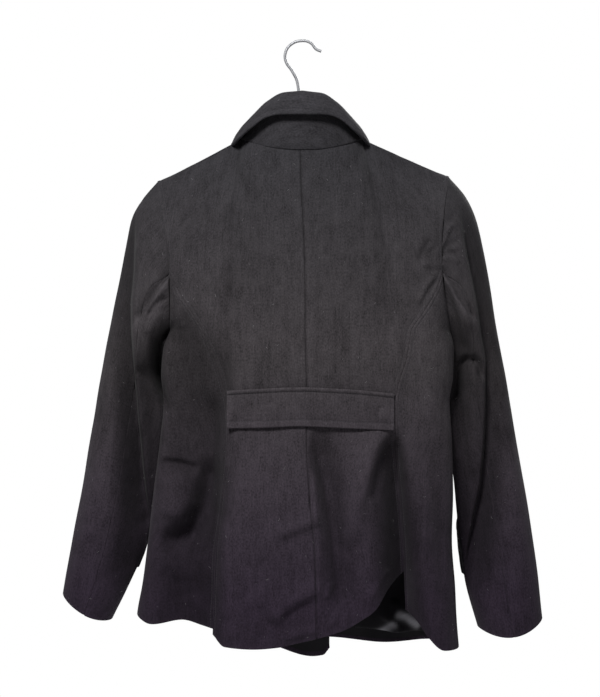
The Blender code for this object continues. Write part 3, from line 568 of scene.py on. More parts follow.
# Folds of the lining, and the lines on it where a highlight is painted into its colour
LINING_CREASES = [
    Crease(4.0, 5, 0, [(132, -850), (136, -822), (134, -790)]),
    Crease(-3.0, 8, 0, [(112, -850), (124, -822)]),
    Crease(-3.0, 8, 0, [(158, -846), (148, -812)]),
]
LINING_GLINTS = [
    Crease(1.3, 4, 0, [(104, -848), (119, -838), (136, -824)]),
    Crease(1.3, 5, 0, [(132, -812), (147, -818), (172, -834)]),
]

# Sleeve sections from the armhole to the cuff: the outer and the inner edge, and the half depths
Sleeve = namedtuple("Sleeve", "outer_x outer_z inner_x inner_z back front inset ahead sag")
SLEEVES = {
    -1: [
        Sleeve(204, -197, 186, -406, 47, 47, 9, 0, 0),
        Sleeve(225, -221, 186, -413, 50, 50, 5, 4, 0),
        Sleeve(241, -249, 187, -421, 53, 53, 2, 11, 0),
        Sleeve(251, -293, 191, -438, 55, 55, 0, 17, 0),
        Sleeve(263, -350, 194, -462, 56, 56, 0, 24, 0),
        Sleeve(275, -406, 192, -494, 55, 56, 0, 29, 0),
        Sleeve(286, -462, 193, -532, 54, 55, 0, 33, 0),
        Sleeve(296, -519, 199, -572, 52, 54, 0, 36, 0),
        Sleeve(306, -575, 204, -617, 51, 53, 0, 38, 0),
        Sleeve(315, -632, 212, -664, 49, 52, 0, 40, 0),
        Sleeve(326, -688, 224, -713, 47, 51, 0, 41, 0),
        Sleeve(335, -738, 242, -758, 45, 49, 0, 42, 2),
        Sleeve(343, -783, 272, -820, 43, 47, 0, 42, 7),
    ],
    1: [
        Sleeve(207, -190, 208, -406, 47, 47, 14, 0, 0),
        Sleeve(230, -217, 208, -413, 50, 50, 8, 4, 0),
        Sleeve(246, -250, 208, -422, 53, 53, 3, 11, 0),
        Sleeve(257, -293, 210, -438, 55, 55, 0, 17, 0),
        Sleeve(268, -350, 210, -464, 56, 56, 0, 24, 0),
        Sleeve(278, -406, 205, -496, 55, 56, 0, 29, 0),
        Sleeve(289, -462, 205, -534, 54, 55, 0, 33, 0),
        Sleeve(299, -519, 211, -576, 52, 54, 0, 36, 0),
        Sleeve(309, -575, 217, -618, 51, 53, 0, 38, 0),
        Sleeve(319, -632, 221, -664, 49, 52, 0, 40, 0),
        Sleeve(328, -688, 226, -712, 47, 51, 0, 41, 0),
        Sleeve(337, -748, 233, -762, 46, 50, 0, 42, 5),
        Sleeve(345, -818, 252, -831, 45, 49, 0, 42, 15),
    ],
}
UPPER_ANGLES = (-120, 105)
UNDER_ANGLES = (105, 240)
HIND_SHIFT = 15.0
HIND_ROWS = 4

# Collar sections from the centre back to the front end, measured from the neck seam
Collar = namedtuple("Collar", "along facing stand lean reach drop forward")
COLLAR = [
    Collar(0.0, 0, 78.5, 3, 14, 30.5, 0),
    Collar(0.1, 16, 75, 4, 15, 28, 0),
    Collar(0.2, 32, 62, 6, 18, 23, 0),
    Collar(0.3, 50, 42, 5.5, 20, 22.5, 0),
    Collar(0.4, 66, 26, 6, 20.5, 22, 0),
    Collar(0.5, 78, 17, 8, 22, 23, 1),
    Collar(0.6, 84, 13.6, 10, 25, 22.5, 2),
    Collar(0.8, 92, 12, 4, 42, 22, 8),
    Collar(1.0, 92, 9, 0, 60, 20, 5),
]

Belt = namedtuple("Belt", "x top bottom")
BELT = [
    Belt(-103, -491, -540),
    Belt(-55, -488, -539),
    Belt(-3, -486, -537),
    Belt(65, -489, -540),
    Belt(126, -495, -543),
]

# Flat size of each piece of cloth before it was sewn, in metres and square metres
Cut = namedtuple("Cut", "width length area held rests_on")
CUTS = {
    "back_left": Cut(0.230, 0.720, 0.105, "hung", ["hanger_bar"]),
    "back_right": Cut(0.235, 0.680, 0.107, "hung", ["hanger_bar"]),
    "side_back_left": Cut(0.170, 0.525, 0.058, "hung", ["back_left"]),
    "side_back_right": Cut(0.155, 0.540, 0.054, "hung", ["back_right"]),
    "front_left": Cut(0.325, 0.785, 0.174, "hung", ["hanger_bar"]),
    "front_right": Cut(0.345, 0.785, 0.210, "hung", ["hanger_bar"]),
    "lapel_left": Cut(0.118, 0.190, 0.0125, "folded", ["front_left"]),
    "lapel_right": Cut(0.122, 0.225, 0.0122, "folded", ["front_right"]),
    "upper_sleeve_left": Cut(0.320, 0.610, 0.108, "hung", ["back_left", "front_left"]),
    "upper_sleeve_right": Cut(0.330, 0.655, 0.112, "hung", ["back_right", "front_right"]),
    "under_sleeve_left": Cut(0.200, 0.520, 0.061, "hung", ["side_back_left", "front_left"]),
    "under_sleeve_right": Cut(0.168, 0.560, 0.057, "hung", ["side_back_right", "front_right"]),
    "collar": Cut(0.122, 0.470, 0.0315, "folded", ["back_left", "back_right"]),
    "half_belt": Cut(0.228, 0.052, 0.0117, "laid", ["back_left", "back_right"]),
    "hem_lining": Cut(0.120, 0.100, 0.0102, "hung", ["front_right"]),
}

# Profile of a button from the middle of its back to the middle of its face
Turned = namedtuple("Turned", "radius out")
BUTTON = [
    Turned(0, 0.6),
    Turned(9.6, 0.6),
    Turned(10.9, 0.8),
    Turned(12.1, 1.6),
    Turned(12.5, 2.4),
    Turned(12.4, 3.3),
    Turned(11.9, 4.0),
    Turned(11.1, 4.4),
    Turned(10.2, 4.4),
    Turned(9.4, 4.0),
    Turned(8.8, 3.6),
    Turned(8.0, 3.4),
    Turned(0, 3.2),
]
DRILL = [Turned(0, -2), Turned(HOLE_RADIUS, -2), Turned(HOLE_RADIUS, 8), Turned(0, 8)]

# Loose fold of the lining inside the right front
LINING_X = 78.0
LINING_WIDTH = 96.0
LINING_Z = -838.0
LINING_HEIGHT = 96.0
LINING_GAP = 5.2
LINING_PUFF = 20.0
PUFF_PLACE = 0.55
PUFF_REACH = 0.28
PUFF_FADE = 1.5

# Centre line of the hook's wire, from the bar up to the tip
Wire = namedtuple("Wire", "x z")
HOOK = [
    Wire(-7, -121.5),
    Wire(-7, -56),
    Wire(-14, -41),
    Wire(-23, -27),
    Wire(-23.5, -15),
    Wire(-16, -3.5),
    Wire(0, 2),
    Wire(12, -1),
    Wire(20, -10),
    Wire(27, -13),
]

# Wool: its tone at the hem, the waist and the shoulders, and the heights in metres between which it changes.
# Only the waist tone is the wool's own colour; the darker, more purple hem and the darker shoulders are
# painted shade.
WOOL_LOW = (0.0282, 0.0200, 0.0318)
WOOL_MIDDLE = (0.0410, 0.0365, 0.0390)
WOOL_HIGH = (0.0252, 0.0242, 0.0269)
LOW_RANGE = (-0.78, -0.46)
HIGH_RANGE = (-0.42, -0.16)
# HEM_RANGE and HEM_SHADE: more painted shade towards the hem
HEM_RANGE = (-0.83, -0.62)
HEM_SHADE = 0.72
# Strength of the painted shade in the folds and of the painted light on the ridges
HOLLOW_SHADE = 0.5
WEAR_LIGHT = 0.16
WOOL_OFFSET = 1.4
DARKEST = 0.25

# Noise in the wool: its waves to a metre across and up the cloth, and its weights in the shade and the bump
Grain = namedtuple("Grain", "across up detail shade height")
WOOL_GRAIN = {
    "fine": Grain(430, 46, 3, 0.85, 0.5),
    "speck": Grain(520, 330, 2, 1.7, 0.6),
    "broad": Grain(120, 9, 3, 0.6, 0.4),
    "cloud": Grain(95, 62, 3, 0.55, 0),
    "mottle": Grain(32, 20, 3, 0.8, 0),
    "nap": Grain(2600, 1500, 2, 0.3, 0.6),
}
GRAIN_ROUGH = 0.6
TWILL_WAVES = 5200.0
TWILL_SLANT = 0.9
TWILL_HEIGHT = 0.12

LINING_DARK = (0.005, 0.0045, 0.0055)
LINING_LIGHT = (0.009, 0.008, 0.010)
# Colour of the highlights painted onto the lining
LINING_GLINT = (0.20, 0.196, 0.212)
FLOOR_DARK = (0.78, 0.78, 0.78)
FLOOR_LIGHT = (0.84, 0.84, 0.84)

# Hard finishes, and threads with their two colours
Finish = namedtuple("Finish", "dark light rough metallic grain")
BLACK_HORN = Finish((0.010, 0.010, 0.011), (0.022, 0.021, 0.022), 0.24, 0.0, 160.0)
PLATED_STEEL = Finish((0.27, 0.275, 0.285), (0.40, 0.405, 0.42), 0.45, 0.55, 90.0)
HANGER_PLASTIC = Finish((0.022, 0.022, 0.024), (0.034, 0.034, 0.036), 0.36, 0.0, 120.0)
DARK_THREAD = ((0.03, 0.028, 0.032), (0.055, 0.052, 0.058))
PALE_FIBRE = ((0.10, 0.095, 0.10), (0.30, 0.29, 0.30))

# Studio, in metres and watts, with the camera's sensor in millimetres
CAMERA_PLACE = (-0.003, -2.4, -0.432)
SENSOR = 36
FRAME_WIDTH = 0.983
Light = namedtuple("Light", "name place aim size power")
LIGHTS = [
    Light("key", (-0.55, -1.9, 1.4), (0, 0, -0.45), 0.7, 88),
    Light("fill", (0.5, -2.3, -1.1), (0, 0, -0.5), 0.8, 6),
    Light("back", (0.9, 2.2, 1.2), (0, 0, -0.4), 1.6, 80),
    Light("left", (-2.4, 0.9, 0.3), (0, 0, -0.4), 1.4, 16),
    Light("right", (2.4, 0.9, 0.3), (0, 0, -0.4), 1.4, 16),
]
BACKDROP = (1, 1, 1, 1)
AMBIENT = (0.055, 0.053, 0.065, 1)
FLOOR_SIDES = 96
FLOOR_RADIUS = 2.2
FLOOR_Z = -1.75


# Sections of the body, the sleeves and the collar


def column(table, name):
    return np.array([getattr(row, name) for row in table], float)


def smooth(at, xs, ys):
    """Monotone cubic curve through points whose xs rise, held level past both ends."""
    step = np.diff(xs)
    slope = np.diff(ys) / step
    product = slope[:-1] * slope[1:]
    total = np.where(product > 0, slope[:-1] + slope[1:], 1)
    tangent = np.concatenate([slope[:1], np.where(product > 0, 2 * product / total, 0), slope[-1:]])
    at = np.clip(at, xs[0], xs[-1])
    i = np.clip(np.searchsorted(xs, at, side="right") - 1, 0, len(step) - 1)
    t = (at - xs[i]) / step[i]
    start = (1 + 2 * t) * (1 - t) ** 2 * ys[i] + t * (1 - t) ** 2 * step[i] * tangent[i]
    return start + t * t * (3 - 2 * t) * ys[i + 1] - t * t * (1 - t) * step[i] * tangent[i + 1]


def read(table, at, name):
    """One column of a table at places given in its first column."""
    return smooth(at, column(table, table[0]._fields[0]), column(table, name))


def ease(value):
    value = np.clip(value, 0, 1)
    return value * value * (3 - 2 * value)


def unit(vectors):
    return vectors / np.maximum(np.linalg.norm(vectors, axis=-1, keepdims=True), 1e-9)


def nearest_on(start, end, x, z):
    """Share along a straight stretch of the place nearest to each point, and the distance to it."""
    run = np.subtract(end, start)
    dx, dz = x - start[0], z - start[1]
    t = np.clip((dx * run[0] + dz * run[1]) / (run @ run), 0, 1)
    return t, np.hypot(dx - t * run[0], dz - t * run[1])


def fold_depth(folds, x, z):
    """How far the large folds push the cloth inwards at a place of the back or front view."""
    total = np.zeros(np.broadcast(x, z).shape)
    for rows in folds.values():
        deepest = np.zeros(total.shape)
        for a, b in zip(rows, rows[1:]):
            t, away = nearest_on((a.x, a.z), (b.x, b.z), x, z)
            depth = a.depth + (b.depth - a.depth) * t
            value = depth * np.exp(-((away / (a.reach + (b.reach - a.reach) * t)) ** 2))
            deepest = np.where(np.abs(value) > np.abs(deepest), value, deepest)
        total = total + deepest
    return total


def crease_depth(creases, x, z):
    """How far the creases press the cloth in; each one fades out towards its ends."""
    total = np.zeros(x.shape)
    for crease in creases:
        path = np.array(crease.path, float)
        knots = lengths(path, 0)
        fine = np.linspace(0, knots[-1], CREASE_STEPS * (len(path) - 1) + 1)
        path = np.stack([smooth(fine, knots, path[:, 0]), smooth(fine, knots, path[:, 1])], -1)
        nearest = np.full(x.shape, np.inf)
        side = np.zeros(x.shape)
        place = np.zeros(x.shape)
        for number, (a, b) in enumerate(zip(path, path[1:])):
            t, away = nearest_on(a, b, x, z)
            closer = away < nearest
            nearest = np.where(closer, away, nearest)
            run = unit(b - a)
            offset = (z - a[1]) * run[0] - (x - a[0]) * run[1]
            side = np.where(closer, np.tanh(offset / (SKEW_BLEND * crease.reach)), side)
            place = np.where(closer, (number + t) / (len(path) - 1), place)
        reach = crease.reach * (1 + crease.skew * side)
        fade = ease(np.minimum(place, 1 - place) / END_FADE)
        total += crease.depth * fade * np.exp(-((nearest / reach) ** 2))
    return total


# Its value paints shade into the wool's colour in the folds and paints light onto it on the ridges
def hollow_of(depth):
    """From 1 in the deepest folds to -1 on the highest ridges."""
    return np.tanh(depth / HOLLOW_DEPTH)


def unevenness(x, z, strength):
    """Quiet hollows and swells of hung cloth, the same on each run."""
    random = np.random.default_rng(SEED)
    total = np.zeros(x.shape)
    for _ in range(WAVES):
        length = np.exp(random.uniform(np.log(SHORTEST_WAVE), np.log(LONGEST_WAVE)))
        angle = random.uniform(-WAVE_TILT, WAVE_TILT)
        phase, bend = random.uniform(0, 2 * np.pi, 2)
        across = x * np.cos(angle) + WAVE_SQUASH * z * np.sin(angle)
        along = (z * np.cos(angle) - x * np.sin(angle)) / (WAVE_RUN * length)
        wave = np.sin(2 * np.pi * across / length + phase + WAVE_BEND * np.sin(along + bend))
        total += length / LONGEST_WAVE * wave
    return total * strength / np.sqrt(WAVES)


def half_width(x, z):
    """Width of the body from its middle to the side that a place is on."""
    return np.where(x >= 0, read(BODY, z, "right"), read(BODY, z, "left"))


def ring(turn, z):
    """Outside of the body: turn 0 is the centre back, 1 and -1 the sides, 2 and -2 the centre front."""
    angle = np.asarray(turn) * np.pi / 2
    across, deep = np.sin(angle), np.cos(angle)
    depth = np.where(deep >= 0, read(BODY, z, "back"), read(BODY, z, "front"))
    x = half_width(across, z) * np.sign(across) * np.abs(across) ** (2 / CORNERS)
    y = -depth * np.sign(deep) * np.abs(deep) ** (2 / CORNERS)
    return x, y


def turn_of(x, z):
    """The ring's turn on the back half at a place across."""
    share = np.clip(np.abs(x) / half_width(x, z), 0, 1) ** (CORNERS / 2)
    return np.sign(x) * np.arcsin(share) * 2 / np.pi


def shoulder_z(x):
    left = read(SHOULDER, np.abs(x), "left_z")
    return np.where(x < 0, left, read(SHOULDER, np.abs(x), "right_z"))


def neck_line(turn):
    """Top edge of the back: the neck curve, then the shoulder seam out to the sleeve."""
    out = np.abs(turn)
    tip = np.where(turn < 0, TIP[-1], TIP[1])
    beyond = NECK_HALF + (tip - NECK_HALF) * (out - NECK_TURN) / (1 - NECK_TURN)
    x = np.sign(turn) * np.where(out < NECK_TURN, NECK_HALF * out / NECK_TURN, beyond)
    share = np.clip(out / NECK_TURN, 0, 1)
    neck_z = NECK_BACK_Z + (NECK_POINT_Z - NECK_BACK_Z) * share**NECK_RISE
    y = -NECK_DEPTH * np.clip(1 - share**NECK_BEND, 0, 1) ** NECK_ROUND
    return x, y, np.where(out < NECK_TURN, neck_z, shoulder_z(x))


def rise_of(height):
    return np.clip((height - ARMPIT_Z) / UPPER, 0, 1)


def back_depth(x, z):
    return fold_depth(BACK_FOLDS, x, z) + crease_depth(BACK_CREASES + ARMHOLE_CREASES, x, z)


def front_depth(x, z):
    return fold_depth(FRONT_FOLDS, x, z) + crease_depth(FRONT_CREASES, x, z)


def sleeve_depth(side, x, z):
    creases = SLEEVE_CREASES[side] + ARMHOLE_CREASES
    return fold_depth(SLEEVE_FOLDS[side], x, z) + crease_depth(creases, x, z)


def sleeve_front_depth(side, x, z):
    return fold_depth(SLEEVE_FRONT_FOLDS[side], x, z) + crease_depth(SLEEVE_FRONT_CREASES[side], x, z)


def back(turn, height):
    """Outside of the back: height is z up to the armpit, then runs on to the shoulder seam."""
    low_z = np.minimum(height, ARMPIT_Z)
    x, y = ring(turn, low_z)
    top_x, top_y, top_z = neck_line(turn)
    rise = rise_of(height)
    edge = np.clip((np.abs(turn) - EDGE_START) / (1 - EDGE_START), 0, 1) ** 2
    bow = 2 * np.sqrt(rise * (1 - rise))
    inset = np.where(turn < 0, ARMHOLE_INSET[-1], ARMHOLE_INSET[1])
    x = x + (top_x - x) * rise - np.sign(turn) * inset * bow**2 * edge
    y = y + (top_y - y) * rise**ROLL - ARMHOLE_DEPTH * edge * bow ** (3 - 2 * edge)
    z = low_z + (top_z - low_z) * rise
    y = y + back_depth(x, z) * ease((1 - np.abs(turn)) / SIDE_FADE)
    return np.stack([x, y, z], -1)


def front(side, part, height, creased=True):
    """Outside of a front: part 0 is the side seam and armhole, 1 the front edge and the roll line."""
    low_z = np.minimum(height, ARMPIT_Z)
    other = read(BODY, low_z, "left" if side > 0 else "right")
    reach = 2 + np.arcsin((LAP[side] / other) ** (CORNERS / 2)) * 2 / np.pi
    x, y = ring(side * (1 + part * (reach - 1)), low_z)
    rise = rise_of(height)
    top_x = side * (TIP[side] + part * (NECK_HALF - TIP[side]))
    bow = 2 * np.sqrt(rise * (1 - rise))
    roll = np.clip((rise - BREAK) / (1 - BREAK), 0, 1) - rise
    x = x + (top_x - x) * rise + (NECK_HALF + LAP[side]) * side * roll * part
    wide = half_width(x, low_z)
    share = np.clip(np.abs(x) / (wide + (TIP[side] - wide) * rise), 0, 1)
    chest = (1 - share**CORNERS) ** (1 / CORNERS) * read(BODY, low_z, "front")
    edge = np.clip((share * np.sign(x * side) - ARM_EDGE) / (1 - ARM_EDGE), 0, 1) ** 2
    x = x - side * ARMHOLE_INSET[side] * bow**2 * edge
    y = np.where(rise > 0, chest, y) * (1 - rise**ROLL) + ARMHOLE_DEPTH * edge * bow ** (3 - 2 * edge)
    z = low_z + (shoulder_z(top_x) - low_z) * rise
    if side > 0:
        swell = OVER_SWELL * np.exp(-(((z - SWELL_Z) / SWELL_REACH) ** 2))
        lift = ease((part - LIFT_START) / LIFT_RUN) * (1 - rise**LIFT_FADE)
        y = y + (OVER_LIFT + swell) * lift
    depth = front_depth(x, z) if creased else fold_depth(FRONT_FOLDS, x, z)
    y = y - depth * ease(part / SIDE_FADE) * (1 - rise)
    return np.stack([x, y, z], -1)


def princess(side):
    """Turn of a princess seam at a height: up from the hem, then out to the armhole."""
    top = (1 - np.cos(np.pi * PRINCESS_STEP / ARMHOLE_STEPS)) / 2
    name = "princess_left" if side < 0 else "princess_right"

    def turn(height):
        low = np.minimum(height, ARMPIT_Z)
        start = turn_of(read(SEAMS, low, name), low)
        return start + (side - start) * np.clip(rise_of(height) / top, 0, 1) ** PRINCESS_BEND

    return turn


def centre_seam(height):
    low = np.minimum(height, ARMPIT_Z)
    x = read(SEAMS, height, "centre")
    start = turn_of(x, low)
    return start + (x / NECK_HALF * NECK_TURN - start) * rise_of(height)


def side_seam(side):
    return lambda height: side * np.ones_like(height)


def height_of(row, hem):
    """Height of a row of points: the lowest rows follow the hem, the rest are shared by all panels."""
    level = HEM_TOP + (ARMPIT_Z - HEM_TOP) * (row - HEM_ROWS) / LEVEL_ROWS
    step = np.clip((row - ARMPIT_ROW) / ARMHOLE_STEPS, 0, 1)
    upper = ARMPIT_Z + UPPER * (1 - np.cos(np.pi * step)) / 2
    level = np.where(row > ARMPIT_ROW, upper, level)
    return np.where(row < HEM_ROWS, hem + (HEM_TOP - hem) * row / HEM_ROWS, level)


def hem_of(name, x):
    return read(HEMS[name], x, "z")


def back_point(name, from_seam, to_seam):
    def point(row, col):
        height = height_of(row, hem_of(name, 0 * col))
        for _ in range(HEM_PASSES):
            start, end = from_seam(height), to_seam(height)
            turn = start + (end - start) * col
            height = height_of(row, hem_of(name, ring(turn, np.minimum(height, ARMPIT_Z))[0]))
        return back(turn, height)

    return point


def front_point(name, side):
    def point(row, col):
        height = height_of(row, hem_of(name, 0 * col))
        for _ in range(HEM_PASSES):
            place = front(side, col, np.minimum(height, ARMPIT_Z))
            height = height_of(row, hem_of(name, place[..., 0]))
        return front(side, col, height)

    return point


def sleeve_point(side, angles):
    """Part of a sleeve between its two seams; the hind one moves back below the armhole."""
    first, last = angles

    def point(row, col):
        shift = HIND_SHIFT * ease(row / HIND_ROWS)
        start = first - shift * (first == UNDER_ANGLES[0])
        end = last - shift * (last == UPPER_ANGLES[1])
        return sleeve(side, row, start + (end - start) * col)

    return point


def sleeve(side, row, angle):
    """Outside of a sleeve: angle 0 is its outer edge, 90 the back, 180 the underarm, 270 the front."""
    table = SLEEVES[side]
    places = np.arange(len(table), dtype=float)
    outer_x, outer_z, inner_x, inner_z, back_half, front_half, inset, ahead, sag = (
        smooth(row, places, column(table, name)) for name in Sleeve._fields
    )
    turn = np.radians(angle)
    share = (1 + np.cos(turn)) / 2
    across = np.sin(turn)
    x = side * (inner_x + (outer_x - inner_x) * share - inset * across**2)
    z = inner_z + (outer_z - inner_z) * share - sag * across**2
    y = ahead - np.where(across > 0, back_half, front_half) * across
    y = y + sleeve_depth(side, x, z) * np.sqrt(np.clip(across, 0, 1))
    y = y - sleeve_front_depth(side, x, z) * np.sqrt(np.clip(-across, 0, 1))
    return np.stack([x, y, z], -1)


def roll_line(side, rise):
    return front(side, np.ones_like(rise), ARMPIT_Z + UPPER * rise)


def collar_seam(side, along):
    """The neck seam from the centre back round to where the collar ends on the roll line."""
    on_neck = np.clip(along / COLLAR_NECK, 0, 1)
    on_front = np.clip((along - COLLAR_NECK) / (1 - COLLAR_NECK), 0, 1)
    turn = np.sin(on_neck * np.pi / 2) ** COLLAR_SPREAD
    neck = np.stack(neck_line(side * NECK_TURN * turn + 1e-6 * side), -1)
    ahead = roll_line(side, 1 - (1 - GORGE) * on_front)
    return np.where((along < COLLAR_NECK)[:, None], neck, ahead)


# Cloth


def add_object(name, data):
    made = bpy.data.objects.new(name, data)
    bpy.context.scene.collection.objects.link(made)
    return made


def spread(line, params, count, ends):
    """Params of places along a measured line, inset at both ends and closer together there."""
    length = lengths(line, 0)
    t = np.linspace(0, 1, count)
    t = t - BUNCH * np.sin(2 * np.pi * t) / (2 * np.pi)
    return np.interp(ends[0] + t * (length[-1] - ends[0] - ends[1]), length, params)


def lay(point, rows, cols, counts, insets, middle):
    """A grid of points on a surface; insets are for the bottom, the top, the first and the last column."""
    dense_rows = np.linspace(*rows, DENSE)
    dense_cols = cols[0] + (cols[1] - cols[0]) * (1 - np.cos(np.linspace(0, np.pi, DENSE))) / 2
    up = point(dense_rows, np.full(DENSE, middle))
    row = spread(up, dense_rows, counts[0], insets[:2])
    lines = point(*np.meshgrid(row, dense_cols, indexing="ij"))
    col = np.stack([spread(line, dense_cols, counts[1], insets[2:]) for line in lines])
    return point(np.broadcast_to(row[:, None], col.shape), col)


def normals_of(points, inside):
    """Outward normals of a grid, and 1 or -1 for the way that its faces turn."""
    normal = unit(np.cross(np.gradient(points, axis=1), np.gradient(points, axis=0)))
    turned = np.sign(np.sum(normal * (points - np.asarray(inside, float))))
    return normal * turned, turned


def lengths(points, axis):
    """Distance of each point along its row or column from the first one."""
    step = np.linalg.norm(np.diff(points, axis=axis), axis=-1)
    return np.concatenate([np.zeros_like(np.take(step, [0], axis)), np.cumsum(step, axis)], axis)


def from_end(distance, axis):
    return np.take(distance, [-1], axis) - distance


def edge_press(edge, distance):
    """Press of a topstitched edge: raised as far as the stitching, which sinks in."""
    raised = -edge.swell * (1 - ease((distance - edge.start) / edge.run))
    return raised + edge.groove * np.exp(-(((distance - edge.inset) / edge.reach) ** 2))


def grid_quads(index):
    """Corners of the faces between the points of a numbered grid."""
    return np.stack([index[:-1, :-1], index[:-1, 1:], index[1:, 1:], index[1:, :-1]], -1).reshape(-1, 4)


Rounds = namedtuple("Rounds", "bottom top first last")


def rim_loops(points, normal, thick, rounds, border):
    """Loops of points round the border of a sheet, from its outer face to its inner one."""
    out = np.zeros_like(points)
    radius = np.zeros(points.shape[:2])
    ends = ((0, 1), (-1, -2))
    for (edge, near), size in zip(ends, rounds[:2]):
        out[edge] += unit(points[edge] - points[near])
        radius[edge] = np.maximum(radius[edge], size)
    for (edge, near), size in zip(ends, rounds[2:]):
        out[:, edge] += unit(points[:, edge] - points[:, near])
        radius[:, edge] = np.maximum(radius[:, edge], size)
    rim, rim_normal, rim_out = (grid.reshape(-1, 3)[border] for grid in (points, normal, unit(out)))
    rim_radius = np.minimum(radius.reshape(-1)[border], ROUND_LIMIT * thick)[:, None]
    profile = [(share, 0, push) for share, push in ROUND_STEPS]
    profile += [(-share, 1, push) for share, push in ROUND_STEPS[::-1]]
    loops = []
    for share, whole, push in profile:
        loops.append(rim - rim_normal * (share * rim_radius + whole * thick) + rim_out * push * rim_radius)
    return loops


def shell(
    name,
    points,
    inside,
    thick,
    rounds,
    materials,
    wool_inside=None,
    turned=None,
    grain=None,
    wear=None,
    hollow=None,
):
    """A closed sheet of cloth on a grid of outer points, with rounded borders, UVs in metres and edge wear.

    The cloth faces away from the point inside, unless turned says which way its faces go. The wool_inside
    mask marks where its inner face is wool too. The distance across for the UVs is in grain, worn places and
    the lining's painted highlights in wear, and the depth within the folds in hollow, which
    paints shade into the folds and light onto the ridges.
    """
    normal, way = normals_of(points, inside)
    if turned:
        normal, way = normal * way * turned, turned
    rows, cols = points.shape[:2]
    count = rows * cols
    index = np.arange(count).reshape(rows, cols)
    border = np.concatenate([index[0], index[1:, -1], index[-1, -2::-1], index[-2:0:-1, 0]])
    loops = rim_loops(points, normal, thick, rounds, border)
    inner = points - normal * thick
    corners = np.concatenate([points.reshape(-1, 3), inner.reshape(-1, 3), *loops])
    quads = grid_quads(index)
    rim_index = 2 * count + np.arange(len(loops) * len(border)).reshape(len(loops), -1)
    strips = [border, *rim_index, border + count]
    faces = [quads, quads[:, ::-1] + count]
    for low, high in zip(strips, strips[1:]):
        faces.append(np.stack([np.roll(low, -1), low, high, np.roll(high, -1)], -1))
    faces = np.concatenate(faces)
    if way < 0:
        faces = faces[:, ::-1]
    first, bottom = lengths(points, 1), lengths(points, 0)
    across = first - first[:, cols // 2, None] if grain is None else grain
    flat = np.stack([across, np.broadcast_to(bottom[:, cols // 2, None], across.shape)], -1)
    flat = flat.reshape(-1, 2) * MM
    uv = np.concatenate([flat, flat] + [flat[border]] * len(loops))
    # Real wear near the borders unless values are given: real wear at the cuffs, painted highlights on the
    # lining
    if wear is None:
        nearest = np.minimum.reduce([first, from_end(first, 1), bottom, from_end(bottom, 0)])
        outer = np.exp(-nearest / WEAR_REACH).reshape(-1)
        wear = np.concatenate([outer, 0 * outer, np.ones(rim_index.size)])
    else:
        wear = np.concatenate([wear.reshape(-1), wear.reshape(-1), np.zeros(rim_index.size)])
    # hollow: painted shade in the folds and painted light on the ridges
    hollow = np.zeros(count) if hollow is None else hollow.reshape(-1)
    hollow = np.concatenate([hollow, hollow] + [hollow[border]] * len(loops))
    FUZZY.append(points[::LINT_STEP, ::LINT_STEP][:: int(way)] * MM)
    mesh = bpy.data.meshes.new(name)
    mesh.from_pydata((corners * MM).tolist(), [], faces.tolist())
    for used in materials:
        mesh.materials.append(used)
    if len(materials) > 1:
        lined = np.ones((rows, cols), bool) if wool_inside is None else ~wool_inside
        lined = lined[:-1, :-1] & lined[1:, 1:]
        slots = np.zeros(len(faces), int)
        slots[len(quads) : 2 * len(quads)] = lined.reshape(-1)
        mesh.polygons.foreach_set("material_index", slots)
    layer = mesh.uv_layers.new(name="UVMap")
    loop_points = np.zeros(len(mesh.loops), int)
    mesh.loops.foreach_get("vertex_index", loop_points)
    layer.data.foreach_set("uv", uv[loop_points].reshape(-1))
    for label, values in (("wear", wear), ("hollow", hollow)):
        mesh.attributes.new(label, "FLOAT", "POINT").data.foreach_set("value", values)
    mesh.shade_smooth()
    return add_object(name, mesh)


def grain_of(points, side, column_number):
    """Distance across from the middle line of the back or front, so that the weave hangs straight."""
    distance = lengths(points, 1)
    if column_number:
        distance = from_end(distance, 1)
    return side * points[:, column_number, 0, None] + distance


def press(points, inside, depth):
    """Moves a grid of points inwards along its normals."""
    normal, _ = normals_of(points, inside)
    return points - normal * depth[..., None]


def row_at(points, distance, axis, value):
    """The line of points at a set distance across a grid."""
    lines = []
    swapped = np.moveaxis(points, axis, 1)
    measures = np.moveaxis(distance, axis, 1)
    for line, measure in zip(swapped, measures):
        order = np.argsort(measure)
        lines.append([np.interp(value, measure[order], line[order, k]) for k in range(3)])
    return np.array(lines)


def view(points):
    """Places across and up, as the back and the front are seen."""
    return points[..., 0], points[..., 2]


def hung(points, inside, shift=0.0, sewn=0.0):
    """Presses quiet hollows and a sewn edge into a panel; another shift gives other hollows."""
    x, z = view(points)
    return press(points, inside, unevenness(x, z + shift, UNEVEN) + sewn)


# Lines to stitch and outsides to scatter fibres on, which the makers below fill
STITCHED = []
FUZZY = []


def make_back(name, side, cloth):
    insets = Rounds(EDGE_ROUND, SEAM_ROUND, CENTRE_ROUND, SEAM_ROUND)
    point = back_point(name, centre_seam, princess(side))
    points = lay(point, (0, TOP_ROW), (0, 1), BACK_GRID, insets, BACK_MEASURE)
    last = from_end(lengths(points, 1), 1)
    points = hung(points, MIDDLE, sewn=edge_press(PANEL_EDGE, last))
    STITCHED.append(row_at(points, last, 1, PANEL_EDGE.inset))
    seam = SEAM_SHADE * np.exp(-((lengths(points, 1) / SEAM_SHADE_REACH) ** 2))
    return shell(
        f"cloth_{name}",
        points,
        MIDDLE,
        CLOTH,
        insets,
        cloth,
        wool_inside=lengths(points, 0) < FACING,
        grain=grain_of(points, side, 0),
        hollow=np.maximum(hollow_of(back_depth(*view(points))), seam),
    )


